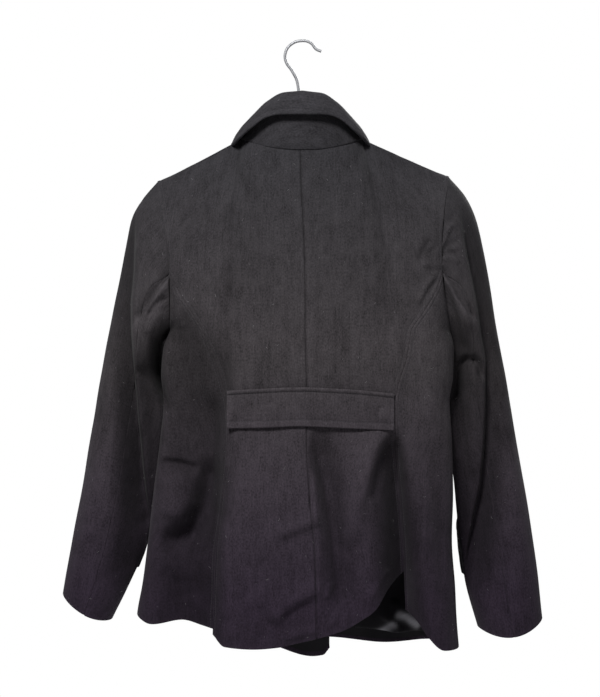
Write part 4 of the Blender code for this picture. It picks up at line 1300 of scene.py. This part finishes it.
def make_side_back(name, side, cloth):
    insets = Rounds(EDGE_ROUND, SIDE_BACK_TOP, SEAM_ROUND, SEAM_ROUND)
    point = back_point(name, princess(side), side_seam(side))
    points = lay(point, (0, PRINCESS_ROW), (0, 1), SIDE_BACK_GRID, insets, MEASURE)
    first = lengths(points, 1)
    points = hung(points, MIDDLE, sewn=edge_press(PANEL_EDGE, first))
    STITCHED.append(row_at(points, first, 1, PANEL_EDGE.inset))
    return shell(
        f"cloth_{name}",
        points,
        MIDDLE,
        CLOTH,
        insets._replace(top=SEAM_ROUND),
        cloth,
        wool_inside=lengths(points, 0) < FACING,
        grain=grain_of(points, side, 0),
        hollow=hollow_of(back_depth(*view(points))),
    )


def make_front(name, side, cloth):
    insets = Rounds(EDGE_ROUND, SEAM_ROUND, SEAM_ROUND, EDGE_ROUND)
    points = lay(front_point(name, side), (0, TOP_ROW), (0, 1), FRONT_GRID, insets, MEASURE)
    last = from_end(lengths(points, 1), 1)
    points = hung(points, MIDDLE, FRONT_SHIFT, edge_press(PANEL_EDGE, last))
    line = row_at(points, last, 1, PANEL_EDGE.inset)
    STITCHED.append(line[line[:, 2] < ARMPIT_Z + BREAK * UPPER])
    up = lengths(points, 0)
    return shell(
        f"cloth_{name}",
        points,
        MIDDLE,
        CLOTH,
        insets,
        cloth,
        wool_inside=(up < FRONT_HEM) | ((last < FRONT_FACING) & (up > FRONT_FACING_START)),
        grain=grain_of(points, side, -1),
        hollow=hollow_of(front_depth(*view(points))),
    )


def make_sleeve(name, side, cloth, angles, cols):
    inside = np.array(SLEEVE_MIDDLE) * (side, 1, 1)
    insets = Rounds(SEAM_ROUND, EDGE_ROUND, SEAM_ROUND, SEAM_ROUND)
    rows = (0, len(SLEEVES[side]) - 1)
    points = lay(sleeve_point(side, angles), rows, (0, 1), (SLEEVE_ROWS, cols), insets, MEASURE)
    points = hung(points, inside, SLEEVE_SHIFT)
    cuff = from_end(lengths(points, 0), 0)
    normal, _ = normals_of(points, inside)
    ahead = ease((normal[..., 1] + SLEEVE_TURN) / (2 * SLEEVE_TURN))
    behind_depth = sleeve_depth(side, *view(points))
    ahead_depth = sleeve_front_depth(side, *view(points))
    return shell(
        f"cloth_{name}",
        points,
        inside,
        CLOTH,
        insets,
        cloth,
        wool_inside=cuff < FACING,
        wear=np.exp(-cuff / WEAR_REACH),
        hollow=hollow_of(behind_depth * (1 - ahead) + ahead_depth * ahead),
    )


def make_lapel(name, side, cloth):
    """Cloth turned out along the roll line, from the front's own points moved out."""
    low, high = BREAK + LAPEL_START, LAPEL_TOP

    def point(row, col):
        height = ARMPIT_Z + UPPER * (low + (high - low) * row)
        length = np.linalg.norm(front(side, 0 * col, height) - front(side, 0 * col + 1, height), axis=-1)
        width = LAPEL_FOOT + (LAPEL_WIDTH - LAPEL_FOOT) * row**LAPEL_FLARE
        return front(side, 1 - col * width / length, height - LAPEL_DIP * row * col)

    points = lay(point, (0, 1), (0, 1), LAPEL_GRID, (0, 0, 0, 0), MEASURE)
    normal, way = normals_of(points, CHEST)
    edge = unit(points[:, 0] - points[:, 1])
    hub = points[:, 0] + normal[:, 0] * LAPEL_GAP / 2
    radius = LAPEL_GAP / 2 + CLOTH
    roll = []
    for angle in np.radians(ROLL_ANGLES):
        roll.append(hub + (normal[:, 0] * np.cos(angle) + edge * np.sin(angle)) * radius)
    lifted = points + normal * (LAPEL_GAP + CLOTH)
    points = np.concatenate([np.stack(roll, 1), lifted], 1)
    border = np.minimum(from_end(lengths(points, 1), 1), from_end(lengths(points, 0), 0))
    points[:, len(roll) :] -= normal * edge_press(PANEL_EDGE, border[:, len(roll) :])[..., None]
    line = row_at(points, border, 1, PANEL_EDGE.inset)
    STITCHED.append(line[LAPEL_PLAIN_ROWS:-LAPEL_PLAIN_ROWS])
    rounds = Rounds(EDGE_ROUND, EDGE_ROUND, EDGE_ROUND, EDGE_ROUND)
    return shell(f"cloth_{name}", points, CHEST, CLOTH, rounds, cloth[:1], turned=way)


def bowed(start, end, out, bow):
    """Points on the lines between two edges of the collar, which swell out in the middle."""
    for t in np.linspace(0, 1, LEAF_COLS):
        yield start + (end - start) * t + out * bow * 4 * t * (1 - t)


def make_collar(cloth):
    """One folded piece: the stand, the roll at its crest and the fall."""
    along = np.linspace(0, 1, COLLAR_ROWS)
    halves = []
    up, ahead = np.array([0, 0, 1.0]), np.array([0, 1.0, 0])
    for side in (-1, 1):
        angle = np.radians(read(COLLAR, along, "facing"))[:, None]
        stand, lean, reach, drop, forward = (
            read(COLLAR, along, name)[:, None] for name in ("stand", "lean", "reach", "drop", "forward")
        )
        out = np.concatenate([side * np.sin(angle), -np.cos(angle), 0 * angle], -1)
        seam = collar_seam(side, along) - up * COLLAR_SINK
        seam = seam + ahead * COLLAR_AHEAD * ease((along - COLLAR_NECK) / COLLAR_EASE)[:, None]
        fade = np.clip((1 - along[:, None]) / (1 - COLLAR_NECK), 0, 1)
        lean = lean + COLLAR_SLUMP[side] * np.sin(angle) * fade
        crest = seam + up * stand - out * lean + ahead * forward / 2
        leaf = crest + out * reach - up * drop + ahead * forward
        hub = crest + out * CREST_RADIUS - up * CREST_RADIUS
        foot = hub - out * CREST_RADIUS
        path = list(bowed(seam, foot, out, STAND_BOW))[:-1]
        for bend in np.radians(np.linspace(*CREST_TURN, CREST_COLS)):
            path.append(hub + (out * np.cos(bend) + up * np.sin(bend)) * CREST_RADIUS)
        path += list(bowed(path[-1], leaf, out, FALL_BOW))[1:]
        path = np.stack(path, 1)
        for _ in range(CREST_PASSES):
            path[:, 1:-1] = (path[:, :-2] + 2 * path[:, 1:-1] + path[:, 2:]) / 4
        halves.append(path)
    points = np.concatenate([halves[0][:0:-1], halves[1]])
    normal = unit(np.cross(np.gradient(points, axis=0), np.gradient(points, axis=1)))
    normal = normal * np.sign(np.sum(normal[:, -FALL_EDGE:, 2]))
    last = from_end(lengths(points, 1), 1)
    x, z = view(points)
    uneven = unevenness(x * COLLAR_WAVES[0], z * COLLAR_WAVES[1], COLLAR_UNEVEN)
    depth = edge_press(PANEL_EDGE, last) + uneven
    points = points + normal * (COLLAR_CLOTH / 2 - depth[..., None])
    STITCHED.append(row_at(points, last, 1, PANEL_EDGE.inset))
    way = np.sign(np.sum(np.cross(np.gradient(points, axis=1), np.gradient(points, axis=0)) * normal))
    # Painted light: the fall is made lighter in colour through a negative hollow value
    fall = ease((np.arange(points.shape[1]) - FALL_START) / FALL_RUN)
    return shell(
        "cloth_collar",
        points,
        MIDDLE,
        COLLAR_CLOTH,
        Rounds(EDGE_ROUND, EDGE_ROUND, EDGE_ROUND, COLLAR_ROUND),
        cloth[:1],
        turned=way,
        hollow=np.broadcast_to(-FALL_LIGHT * fall, points.shape[:2]),
    )


def make_half_belt(cloth):
    """A band between the princess seams, made from the back's rings moved out, with rolled edges."""
    rows, cols = BELT_GRID
    x = np.linspace(BELT[0].x + BELT_END, BELT[-1].x - BELT_END, cols)
    bottom, top = read(BELT, x, "bottom"), read(BELT, x, "top")
    z = bottom + (top - bottom) * np.linspace(0, 1, rows)[:, None]
    x = np.broadcast_to(x, z.shape)
    points = np.stack([*ring(turn_of(x, z), z), z], -1)
    low, high = z - bottom, top - z
    puff = ease((high - BELT_PUFF_TOP) / BELT_PUFF_RUN) * ease((low - BELT_PUFF_LOW) / BELT_PUFF_RUN)
    edges = edge_press(BELT_TOP_EDGE, high) + edge_press(BELT_LOWER_EDGE, low)
    depth = edges - BELT_PUFF * puff + crease_depth(BELT_CREASES, x, z)
    depth = depth + unevenness(x * BELT_WAVES, z * BELT_WAVES, BELT_UNEVEN)
    points = press(points, MIDDLE, depth - BELT_GAP - BELT_CLOTH)
    STITCHED.append(row_at(points, high, 0, BELT_TOP_EDGE.inset))
    STITCHED.append(row_at(points, low, 0, BELT_LOWER_EDGE.inset))
    rounds = Rounds(BELT_ROUND, BELT_ROUND, EDGE_ROUND, EDGE_ROUND)
    return shell("cloth_half_belt", points, MIDDLE, BELT_CLOTH, rounds, cloth[:1])


def make_hem_lining(cloth):
    """The lining's loose fold inside the right front, seen under the raised back hem."""
    row, col = np.meshgrid(*(np.linspace(0, 1, count) for count in LINING_GRID), indexing="ij")
    x = LINING_X + LINING_WIDTH * col
    z = LINING_Z + LINING_HEIGHT * row
    parts = np.linspace(0, 1, LINING_SAMPLES)
    part = np.zeros(x.shape)
    for place in np.ndindex(x.shape):
        line = front(1, parts, np.full(parts.shape, z[place]), creased=False)[:, 0]
        part[place] = np.interp(-x[place], -line, parts)
    puff = LINING_PUFF * np.exp(-(((col - PUFF_PLACE) / PUFF_REACH) ** 2))
    points = front(1, part, z, creased=False)
    points[..., 1] -= CLOTH + LINING_GAP + puff * (1 - ease(row)) ** PUFF_FADE
    points = press(points, MIDDLE, crease_depth(LINING_CREASES, *view(points)))
    # Painted highlights: lines where the satin's colour is made pale
    glint = np.clip(crease_depth(LINING_GLINTS, *view(points)), 0, 1)
    rounds = Rounds(LINING_ROUND, LINING_ROUND, LINING_ROUND, LINING_ROUND)
    return shell("cloth_hem_lining", points, MIDDLE, LINING_CLOTH, rounds, cloth, wear=glint)


# Buttons and hanger


def plain_copy(made):
    """Turns an object with modifiers or a curve into a plain mesh object of the same name."""
    graph = bpy.context.evaluated_depsgraph_get()
    mesh = bpy.data.meshes.new_from_object(made.evaluated_get(graph))
    name = made.name
    bpy.data.objects.remove(made)
    mesh.name = name
    return add_object(name, mesh)


def turned_solid(name, profile, sides):
    """A solid turned round the Z axis, whose profile starts and ends on it."""
    points, faces = [], []
    for radius, out in profile:
        for k in range(sides if radius else 1):
            turn = 2 * np.pi * k / sides
            points.append((radius * np.cos(turn), radius * np.sin(turn), out))
    rings = [range(1 + sides * level, 1 + sides * (level + 1)) for level in range(len(profile) - 2)]
    last = len(points) - 1
    for k in range(sides):
        after = (k + 1) % sides
        faces.append((0, rings[0][after], rings[0][k]))
        faces.append((last, rings[-1][k], rings[-1][after]))
        faces += [(low[k], low[after], high[after], high[k]) for low, high in zip(rings, rings[1:])]
    mesh = bpy.data.meshes.new(name)
    mesh.from_pydata([Vector(point) * MM for point in points], [], faces)
    return add_object(name, mesh)


def button_form(plastic):
    """One button lying flat, with four holes drilled through it."""
    made = turned_solid("button_form", BUTTON, BUTTON_SIDES)
    cutters = []
    for across in (-HOLE_PLACE, HOLE_PLACE):
        for up in (-HOLE_PLACE, HOLE_PLACE):
            cutter = turned_solid("drill", DRILL, HOLE_SIDES)
            cutter.data.transform(Matrix.Translation((across * MM, up * MM, 0)))
            cut = made.modifiers.new("hole", "BOOLEAN")
            cut.object = cutter
            cutters.append(cutter)
    made = plain_copy(made)
    for cutter in cutters:
        bpy.data.objects.remove(cutter)
    made.data.materials.append(plastic)
    made.data.shade_smooth()
    made.data.set_sharp_from_angle(angle=np.radians(BUTTON_SHARP))
    return made


def thread_bars():
    """Points and faces of the thread bars over a button's holes, two beside each other on each side."""
    points, faces = [], []
    turns = 2 * np.pi * np.arange(THREAD_SIDES) / THREAD_SIDES
    for across in (-HOLE_PLACE, HOLE_PLACE):
        for shift in (-THREAD_SHIFT, THREAD_SHIFT):
            first = len(points)
            for t in np.linspace(-1, 1, THREAD_STEPS):
                dip = THREAD_DIP * (abs(t) > THREAD_DIP_START)
                lift = THREAD_OUT + THREAD_RISE * (1 - t**THREAD_FLAT) - dip
                up = t * (HOLE_PLACE + THREAD_PAST)
                for turn in turns:
                    beside = across + shift + THREAD_RADIUS * np.cos(turn)
                    points.append((beside, up, lift + THREAD_RADIUS * np.sin(turn)))
            last = len(points) - THREAD_SIDES
            for start in range(first, last, THREAD_SIDES):
                for k in range(THREAD_SIDES):
                    a = start + k
                    b = start + (k + 1) % THREAD_SIDES
                    faces.append((b, a, a + THREAD_SIDES, b + THREAD_SIDES))
            faces.append(tuple(range(first, first + THREAD_SIDES)))
            faces.append(tuple(range(last, last + THREAD_SIDES))[::-1])
    return points, faces


def make_buttons(plastic, thread):
    """Six buttons on the right front, each with its thread on a piece of its own."""
    form = button_form(plastic)
    points, faces = thread_bars()
    mesh = bpy.data.meshes.new("thread_form")
    mesh.from_pydata([Vector(point) * MM for point in points], [], faces)
    mesh.materials.append(thread)
    mesh.shade_smooth()
    made = []
    places = [(x, z) for z in BUTTON_Z for x in BUTTON_X]
    for number, (x, z) in enumerate(places, 1):
        parts = np.linspace(0, 1, FRONT_SAMPLES)
        at = front(1, parts, np.full(parts.shape, z))
        near = parts[np.argmin(np.abs(at[:, 0] - x))]
        place, after, before = (
            front(1, near + step, np.array(z)) for step in (0, -BUTTON_STEP, BUTTON_STEP)
        )
        step = after - before
        normal = unit(np.array([-step[1], step[0], 0.0]))
        across = np.cross([0, 0, 1.0], normal)
        frame = np.eye(4)
        frame[:3, 0], frame[:3, 1], frame[:3, 2], frame[:3, 3] = across, (0, 0, 1), normal, place * MM
        for kind, source in (("button", form.data), ("button_thread", mesh)):
            copy = source.copy()
            copy.transform(Matrix(frame.tolist()))
            piece = add_object(f"turned_{kind}_{number}", copy)
            made.append((piece, f"button_{number}" if kind == "button" else None, "button"))
    bpy.data.objects.remove(form)
    return made


def add_rod(name, points, radius, material):
    """A round rod along a smooth curve through points in millimetres."""
    curve = bpy.data.curves.new(name, "CURVE")
    curve.dimensions = "3D"
    curve.bevel_depth = radius * MM
    curve.bevel_resolution = ROD_BEVEL
    curve.use_fill_caps = True
    curve.resolution_u = ROD_STEPS
    spline = curve.splines.new("BEZIER")
    spline.bezier_points.add(len(points) - 1)
    for place, knot in zip(points, spline.bezier_points):
        knot.co = Vector(place) * MM
        knot.handle_left_type = "AUTO"
        knot.handle_right_type = "AUTO"
    made = plain_copy(add_object(name, curve))
    made.data.materials.clear()
    made.data.materials.append(material)
    made.data.shade_smooth()
    made.data.set_sharp_from_angle(angle=np.radians(ROD_SHARP))
    return made


def make_hanger(steel, moulded):
    hook = add_rod("wire_hook", [(wire.x, 0, wire.z) for wire in HOOK], WIRE_RADIUS, steel)
    left, right = (
        [(side * x, 0, float(shoulder_z(side * x)) - BAR_DROP) for x in BAR_X] for side in (-1, 1)
    )
    middle = [(HOOK[0].x, 0, HOOK[0].z - BAR_SINK)]
    bar = add_rod("moulded_bar", left + middle + right[::-1], BAR_RADIUS, moulded)
    return [(hook, "hanger_hook", "steel"), (bar, "hanger_bar", "hanger")]


# Materials


def add_node(tree, kind, settings, sockets):
    """Adds a node: its settings first, then the constants or links of its sockets."""
    node = tree.nodes.new(kind)
    for name, value in settings.items():
        setattr(node, name, value)
    for name, value in sockets.items():
        value = value.socket if isinstance(value, Field) else value
        if isinstance(value, bpy.types.NodeSocket):
            tree.links.new(value, node.inputs[name])
        else:
            node.inputs[name].default_value = value
    return node


class Field:
    """A shader socket that reads as a number in sums."""

    def __init__(self, tree, socket):
        self.tree = tree
        self.socket = socket

    def math(self, operation, first, second):
        node = add_node(self.tree, "ShaderNodeMath", {"operation": operation}, {0: first, 1: second})
        return Field(self.tree, node.outputs[0])

    def __add__(self, other):
        return self.math("ADD", self, other)

    def __radd__(self, other):
        return self.math("ADD", other, self)

    def __sub__(self, other):
        return self.math("SUBTRACT", self, other)

    def __rsub__(self, other):
        return self.math("SUBTRACT", other, self)

    def __mul__(self, other):
        return self.math("MULTIPLY", self, other)

    def __rmul__(self, other):
        return self.math("MULTIPLY", other, self)


class Shader:
    """A procedural material whose nodes are added one at a time."""

    def __init__(self, name):
        self.material = bpy.data.materials.new(name)
        self.material.use_nodes = True
        self.tree = self.material.node_tree
        self.surface = self.tree.nodes["Principled BSDF"]

    def node(self, kind, settings, sockets, output=0):
        return Field(self.tree, add_node(self.tree, kind, settings, sockets).outputs[output])

    def noise(self, vector, scale=1.0, detail=2.0, rough=0.5):
        sockets = {"Vector": vector, "Scale": scale, "Detail": detail, "Roughness": rough}
        return self.node("ShaderNodeTexNoise", {}, sockets)

    def place(self, across, up):
        return self.node("ShaderNodeCombineXYZ", {}, {"X": across, "Y": up})

    def parts(self, vector):
        return [self.node("ShaderNodeSeparateXYZ", {}, {"Vector": vector}, k) for k in range(3)]

    def on_cloth(self):
        """Distances across and up the cloth in metres."""
        return self.parts(self.node("ShaderNodeUVMap", {"uv_map": "UVMap"}, {}))[:2]

    def in_object(self):
        return self.node("ShaderNodeTexCoord", {}, {}, 3)

    def attribute(self, name):
        return self.node("ShaderNodeAttribute", {"attribute_name": name}, {}, 2)

    def between(self, value, ends, low=0.0):
        """From a low value to 1 as a value goes from one end to the other."""
        sockets = {"Value": value, "From Min": ends[0], "From Max": ends[1], "To Min": low}
        return self.node("ShaderNodeMapRange", {"clamp": True}, sockets)

    def blend(self, factor, low, high):
        low, high = (end if isinstance(end, Field) else (*end, 1) for end in (low, high))
        return self.node("ShaderNodeMix", {"data_type": "RGBA"}, {0: factor, 6: low, 7: high}, 2)

    def shaded(self, colour, shade):
        return self.node("ShaderNodeVectorMath", {"operation": "SCALE"}, {"Vector": colour, "Scale": shade})

    def link(self, name, value):
        self.tree.links.new(value.socket, self.surface.inputs[name])

    def fixed(self, **values):
        for name, value in values.items():
            self.surface.inputs[name.replace("_", " ")].default_value = value

    def bump(self, height, distance, strength):
        sockets = {"Height": height, "Distance": distance, "Strength": strength}
        self.link("Normal", self.node("ShaderNodeBump", {}, sockets))


def wool_material():
    made = Shader("charcoal_wool")
    across, up = made.on_cloth()
    high = made.parts(made.in_object())[2]
    grain = {}
    for name, row in WOOL_GRAIN.items():
        place = made.place(across * row.across, up * row.up)
        grain[name] = made.noise(place, detail=row.detail, rough=GRAIN_ROUGH)
    twill = (across * TWILL_SLANT + up) * TWILL_WAVES
    # On the wool this attribute is real wear at the edges and the cuffs
    shade = made.attribute("wear") * WEAR_LIGHT - WOOL_OFFSET
    height = made.node("ShaderNodeMath", {"operation": "SINE"}, {0: twill}) * TWILL_HEIGHT
    for name, row in WOOL_GRAIN.items():
        shade = shade + grain[name] * row.shade
        if row.height:
            height = height + grain[name] * row.height
    shade = made.node("ShaderNodeMath", {"operation": "MAXIMUM"}, {0: shade, 1: DARKEST})
    # Painted shade near the hem and in the folds, and painted light on the ridges and the collar's fall
    shade = shade * made.between(high, HEM_RANGE, HEM_SHADE) * (1.0 - made.attribute("hollow") * HOLLOW_SHADE)
    # Painted shade in the tone: darker and more purple towards the hem, and darker at the shoulders
    low_tone = made.blend(made.between(high, LOW_RANGE), WOOL_LOW, WOOL_MIDDLE)
    tone = made.blend(made.between(high, HIGH_RANGE), low_tone, WOOL_HIGH)
    made.link("Base Color", made.shaded(tone, shade))
    made.link("Roughness", 0.82 + grain["nap"] * 0.14)
    made.bump(height, 0.00035, 0.6)
    made.fixed(Specular_IOR_Level=0.1, Sheen_Weight=0.03, Sheen_Roughness=0.45)
    return made.material


def lining_material():
    made = Shader("black_satin")
    across, up = made.on_cloth()
    yarn = made.noise(made.place(across * 3000, up * 260))
    cloud = made.noise(made.place(across * 30, up * 18), detail=3.0)
    tone = made.blend(cloud, LINING_DARK, LINING_LIGHT)
    # Painted highlight: the pale glint colour blended into the satin where the attribute is set
    tone = made.blend(made.attribute("wear"), tone, LINING_GLINT)
    made.link("Base Color", made.shaded(tone, 0.7 + yarn * 0.25 + cloud * 0.35))
    made.link("Roughness", 0.46 + cloud * 0.16)
    made.bump(yarn + cloud * 2.0, 0.0002, 0.5)
    made.fixed(Specular_IOR_Level=0.12)
    return made.material


def hard_material(name, finish):
    """Moulded plastic, horn or plated wire: faint clouding in colour, gloss and surface."""
    made = Shader(name)
    place = made.in_object()
    cloud = made.noise(place, finish.grain, 4.0, 0.6)
    fine = made.noise(place, finish.grain * 14)
    made.link("Base Color", made.blend(cloud, finish.dark, finish.light))
    made.link("Roughness", finish.rough + cloud * 0.12 + fine * 0.05)
    made.bump(fine + cloud * 2.0, 0.00006, 0.5)
    made.fixed(Metallic=finish.metallic)
    return made.material


def thread_material(name, colours):
    made = Shader(name)
    twist = made.noise(made.in_object(), 2600.0)
    made.link("Base Color", made.blend(twist, *colours))
    made.link("Roughness", 0.7 + twist * 0.2)
    made.bump(twist, 0.0001, 0.6)
    made.fixed(Specular_IOR_Level=0.2, Sheen_Weight=0.05)
    return made.material


def floor_material():
    made = Shader("pale_floor")
    cloud = made.noise(made.in_object(), 1.7, 4.0)
    made.link("Base Color", made.blend(cloud, FLOOR_DARK, FLOOR_LIGHT))
    made.link("Roughness", 0.8 + cloud * 0.1)
    return made.material


# Stitching and fibres, laid by geometry nodes


class Nodes:
    """A geometry node tree that is built one node at a time."""

    def __init__(self, name, inputs):
        self.tree = bpy.data.node_groups.new(name, "GeometryNodeTree")
        face = self.tree.interface
        face.new_socket("Geometry", in_out="INPUT", socket_type="NodeSocketGeometry")
        self.names = {}
        for label, (kind, value) in inputs.items():
            socket = face.new_socket(label, in_out="INPUT", socket_type=kind)
            socket.default_value = value
            self.names[label] = socket.identifier
        face.new_socket("Geometry", in_out="OUTPUT", socket_type="NodeSocketGeometry")
        self.given = self.tree.nodes.new("NodeGroupInput").outputs

    def add(self, kind, output, settings, sockets):
        return add_node(self.tree, kind, settings, sockets).outputs[output]

    def close(self, instances, material):
        """Ends the tree with the instances as real faces of one material."""
        real = self.add("GeometryNodeRealizeInstances", "Geometry", {}, {"Geometry": instances})
        painted = {"Geometry": real, "Material": material}
        done = self.add("GeometryNodeSetMaterial", "Geometry", {}, painted)
        add_node(self.tree, "NodeGroupOutput", {}, {"Geometry": done})

    def scatter(self, points, instance, scale):
        """Instances on points, each turned as its point is."""
        sockets = {"Points": points, "Instance": instance, "Scale": scale}
        sockets["Rotation"] = points.node.outputs["Rotation"]
        return self.add("GeometryNodeInstanceOnPoints", "Instances", {}, sockets)

    def grow(self, name, points, edges, faces, **values):
        """Runs the tree on a mesh and gives back what it made as a plain object."""
        mesh = bpy.data.meshes.new(name)
        mesh.from_pydata(points, edges, faces)
        made = add_object(name, mesh)
        laid = made.modifiers.new(name, "NODES")
        laid.node_group = self.tree
        for label, value in values.items():
            laid[self.names[label]] = value
        made = plain_copy(made)
        made.data.shade_smooth()
        return made


def make_stitches(thread):
    """Short beads of thread along every sewn line."""
    sizes = {"Pitch": STITCH_PITCH * MM, "Length": STITCH_LENGTH * MM, "Width": STITCH_WIDTH * MM}
    nodes = Nodes("stitches", {label: ("NodeSocketFloat", size) for label, size in sizes.items()})
    given = nodes.given
    curve = nodes.add("GeometryNodeMeshToCurve", "Curve", {}, {"Mesh": given["Geometry"]})
    spacing = {"Curve": curve, "Length": given["Pitch"]}
    dots = nodes.add("GeometryNodeCurveToPoints", "Points", {"mode": "LENGTH"}, spacing)
    round_form = {"Segments": 7, "Rings": 6, "Radius": 0.5}
    bead = nodes.add("GeometryNodeMeshUVSphere", "Mesh", {}, round_form)
    scale = {"X": given["Width"], "Y": given["Width"], "Z": given["Length"]}
    size = nodes.add("ShaderNodeCombineXYZ", "Vector", {}, scale)
    nodes.close(nodes.scatter(dots, bead, size), thread)
    points, edges = [], []
    for line in STITCHED:
        first = len(points)
        points += (line * MM).tolist()
        edges += [(first + k, first + k + 1) for k in range(len(line) - 1)]
    return nodes.grow("topstitching", points, edges, [], **sizes)


def make_lint(fibre):
    """Loose pale fibres and specks scattered over the outside of the cloth."""
    inputs = {"Density": ("NodeSocketFloat", LINT_DENSITY), "Seed": ("NodeSocketInt", SEED)}
    nodes = Nodes("lint", inputs)
    given = nodes.given
    cover = {"Mesh": given["Geometry"], "Density": given["Density"], "Seed": given["Seed"]}
    spots = nodes.add("GeometryNodeDistributePointsOnFaces", "Points", {}, cover)
    by_radius = {"mode": "RADIUS"}
    bend = {"Resolution": 6, "Radius": FIBRE_BEND * MM, "Sweep Angle": FIBRE_SWEEP}
    arc = nodes.add("GeometryNodeCurveArc", "Curve", by_radius, bend)
    section = {"Resolution": 3, "Radius": FIBRE_RADIUS * MM}
    outline = nodes.add("GeometryNodeCurvePrimitiveCircle", "Curve", by_radius, section)
    sweep = {"Curve": arc, "Profile Curve": outline, "Fill Caps": True}
    strand = nodes.add("GeometryNodeCurveToMesh", "Mesh", {}, sweep)
    scales = {2: FIBRE_SCALES[0], 3: FIBRE_SCALES[1], "Seed": given["Seed"]}
    size = nodes.add("FunctionNodeRandomValue", 1, {"data_type": "FLOAT"}, scales)
    laid = nodes.scatter(spots, strand, size)
    least, most = (-FIBRE_TILT, -FIBRE_TILT, 0), (FIBRE_TILT, FIBRE_TILT, FIBRE_SPIN)
    angles = {0: least, 1: most, "Seed": given["Seed"]}
    spin = nodes.add("FunctionNodeRandomValue", 0, {"data_type": "FLOAT_VECTOR"}, angles)
    turned = nodes.add("GeometryNodeRotateInstances", "Instances", {}, {"Instances": laid, "Rotation": spin})
    nodes.close(turned, fibre)
    points, faces = [], []
    for grid in FUZZY:
        rows, cols = grid.shape[:2]
        index = len(points) + np.arange(rows * cols).reshape(rows, cols)
        points += grid.reshape(-1, 3).tolist()
        faces += grid_quads(index).tolist()
    return nodes.grow("lint", points, [], faces, Density=LINT_DENSITY, Seed=SEED)


# Studio


def make_studio():
    camera = bpy.data.cameras.new("camera")
    camera.lens = SENSOR * -CAMERA_PLACE[1] / FRAME_WIDTH
    seen = add_object("camera", camera)
    seen.location = CAMERA_PLACE
    seen.rotation_euler = (np.pi / 2, 0, 0)
    bpy.context.scene.camera = seen
    bpy.context.scene.view_settings.view_transform = "Standard"
    for light in LIGHTS:
        lamp = bpy.data.lights.new(light.name, "AREA")
        lamp.size = light.size
        lamp.energy = light.power
        holder = add_object(light.name, lamp)
        holder.location = light.place
        direction = Vector(light.aim) - Vector(light.place)
        holder.rotation_euler = direction.to_track_quat("-Z", "Y").to_euler()
    world = bpy.data.worlds.new("studio")
    world.use_nodes = True
    tree = world.node_tree
    tree.nodes.clear()
    bright = add_node(tree, "ShaderNodeBackground", {}, {"Color": BACKDROP}).outputs[0]
    soft = add_node(tree, "ShaderNodeBackground", {}, {"Color": AMBIENT}).outputs[0]
    seen_ray = add_node(tree, "ShaderNodeLightPath", {}, {}).outputs["Is Camera Ray"]
    mix = add_node(tree, "ShaderNodeMixShader", {}, {0: seen_ray, 1: soft, 2: bright}).outputs[0]
    add_node(tree, "ShaderNodeOutputWorld", {}, {"Surface": mix})
    bpy.context.scene.world = world


def make_floor():
    turns = np.linspace(0, 2 * np.pi, FLOOR_SIDES, endpoint=False)
    rim = [(FLOOR_RADIUS * np.cos(turn), FLOOR_RADIUS * np.sin(turn), FLOOR_Z) for turn in turns]
    mesh = bpy.data.meshes.new("floor")
    mesh.from_pydata(rim, [], [tuple(range(FLOOR_SIDES))])
    mesh.materials.append(floor_material())
    made = add_object("floor", mesh)


def make_coat(wool, lining):
    """Every piece of cloth, with the node that it stands for and its slot."""
    cloth = [wool, lining]
    panels = {"back": make_back, "side_back": make_side_back, "front": make_front, "lapel": make_lapel}
    sleeves = {"upper_sleeve": (UPPER_ANGLES, UPPER_COLS), "under_sleeve": (UNDER_ANGLES, UNDER_COLS)}
    made = []
    for side, hand in ((-1, "left"), (1, "right")):
        for kind, make in panels.items():
            name = f"{kind}_{hand}"
            made.append((make(name, side, cloth), name, "wool"))
        for kind, (angles, cols) in sleeves.items():
            name = f"{kind}_{hand}"
            made.append((make_sleeve(name, side, cloth, angles, cols), name, "wool"))
    made.append((make_collar(cloth), "collar", "wool"))
    made.append((make_half_belt(cloth), "half_belt", "wool"))
    made.append((make_hem_lining([lining]), "hem_lining", "lining"))
    return made


def build():
    for old in list(bpy.data.objects):
        bpy.data.objects.remove(old)
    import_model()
    make_studio()
    wool = wool_material()
    lining = lining_material()
    thread = thread_material("dark_thread", DARK_THREAD)
    horn = hard_material("black_button", BLACK_HORN)
    steel = hard_material("plated_steel", PLATED_STEEL)
    moulded = hard_material("hanger_plastic", HANGER_PLASTIC)
    made = make_coat(wool, lining) + make_buttons(horn, thread) + make_hanger(steel, moulded)
    made.append((make_stitches(thread), None, "wool"))
    made.append((make_lint(thread_material("lint_fibre", PALE_FIBRE)), None, "wool"))
    for piece, node, slot in made:
        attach(piece, "root")
        if node:
            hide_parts(node)
        node in CUTS
    make_floor()


build()
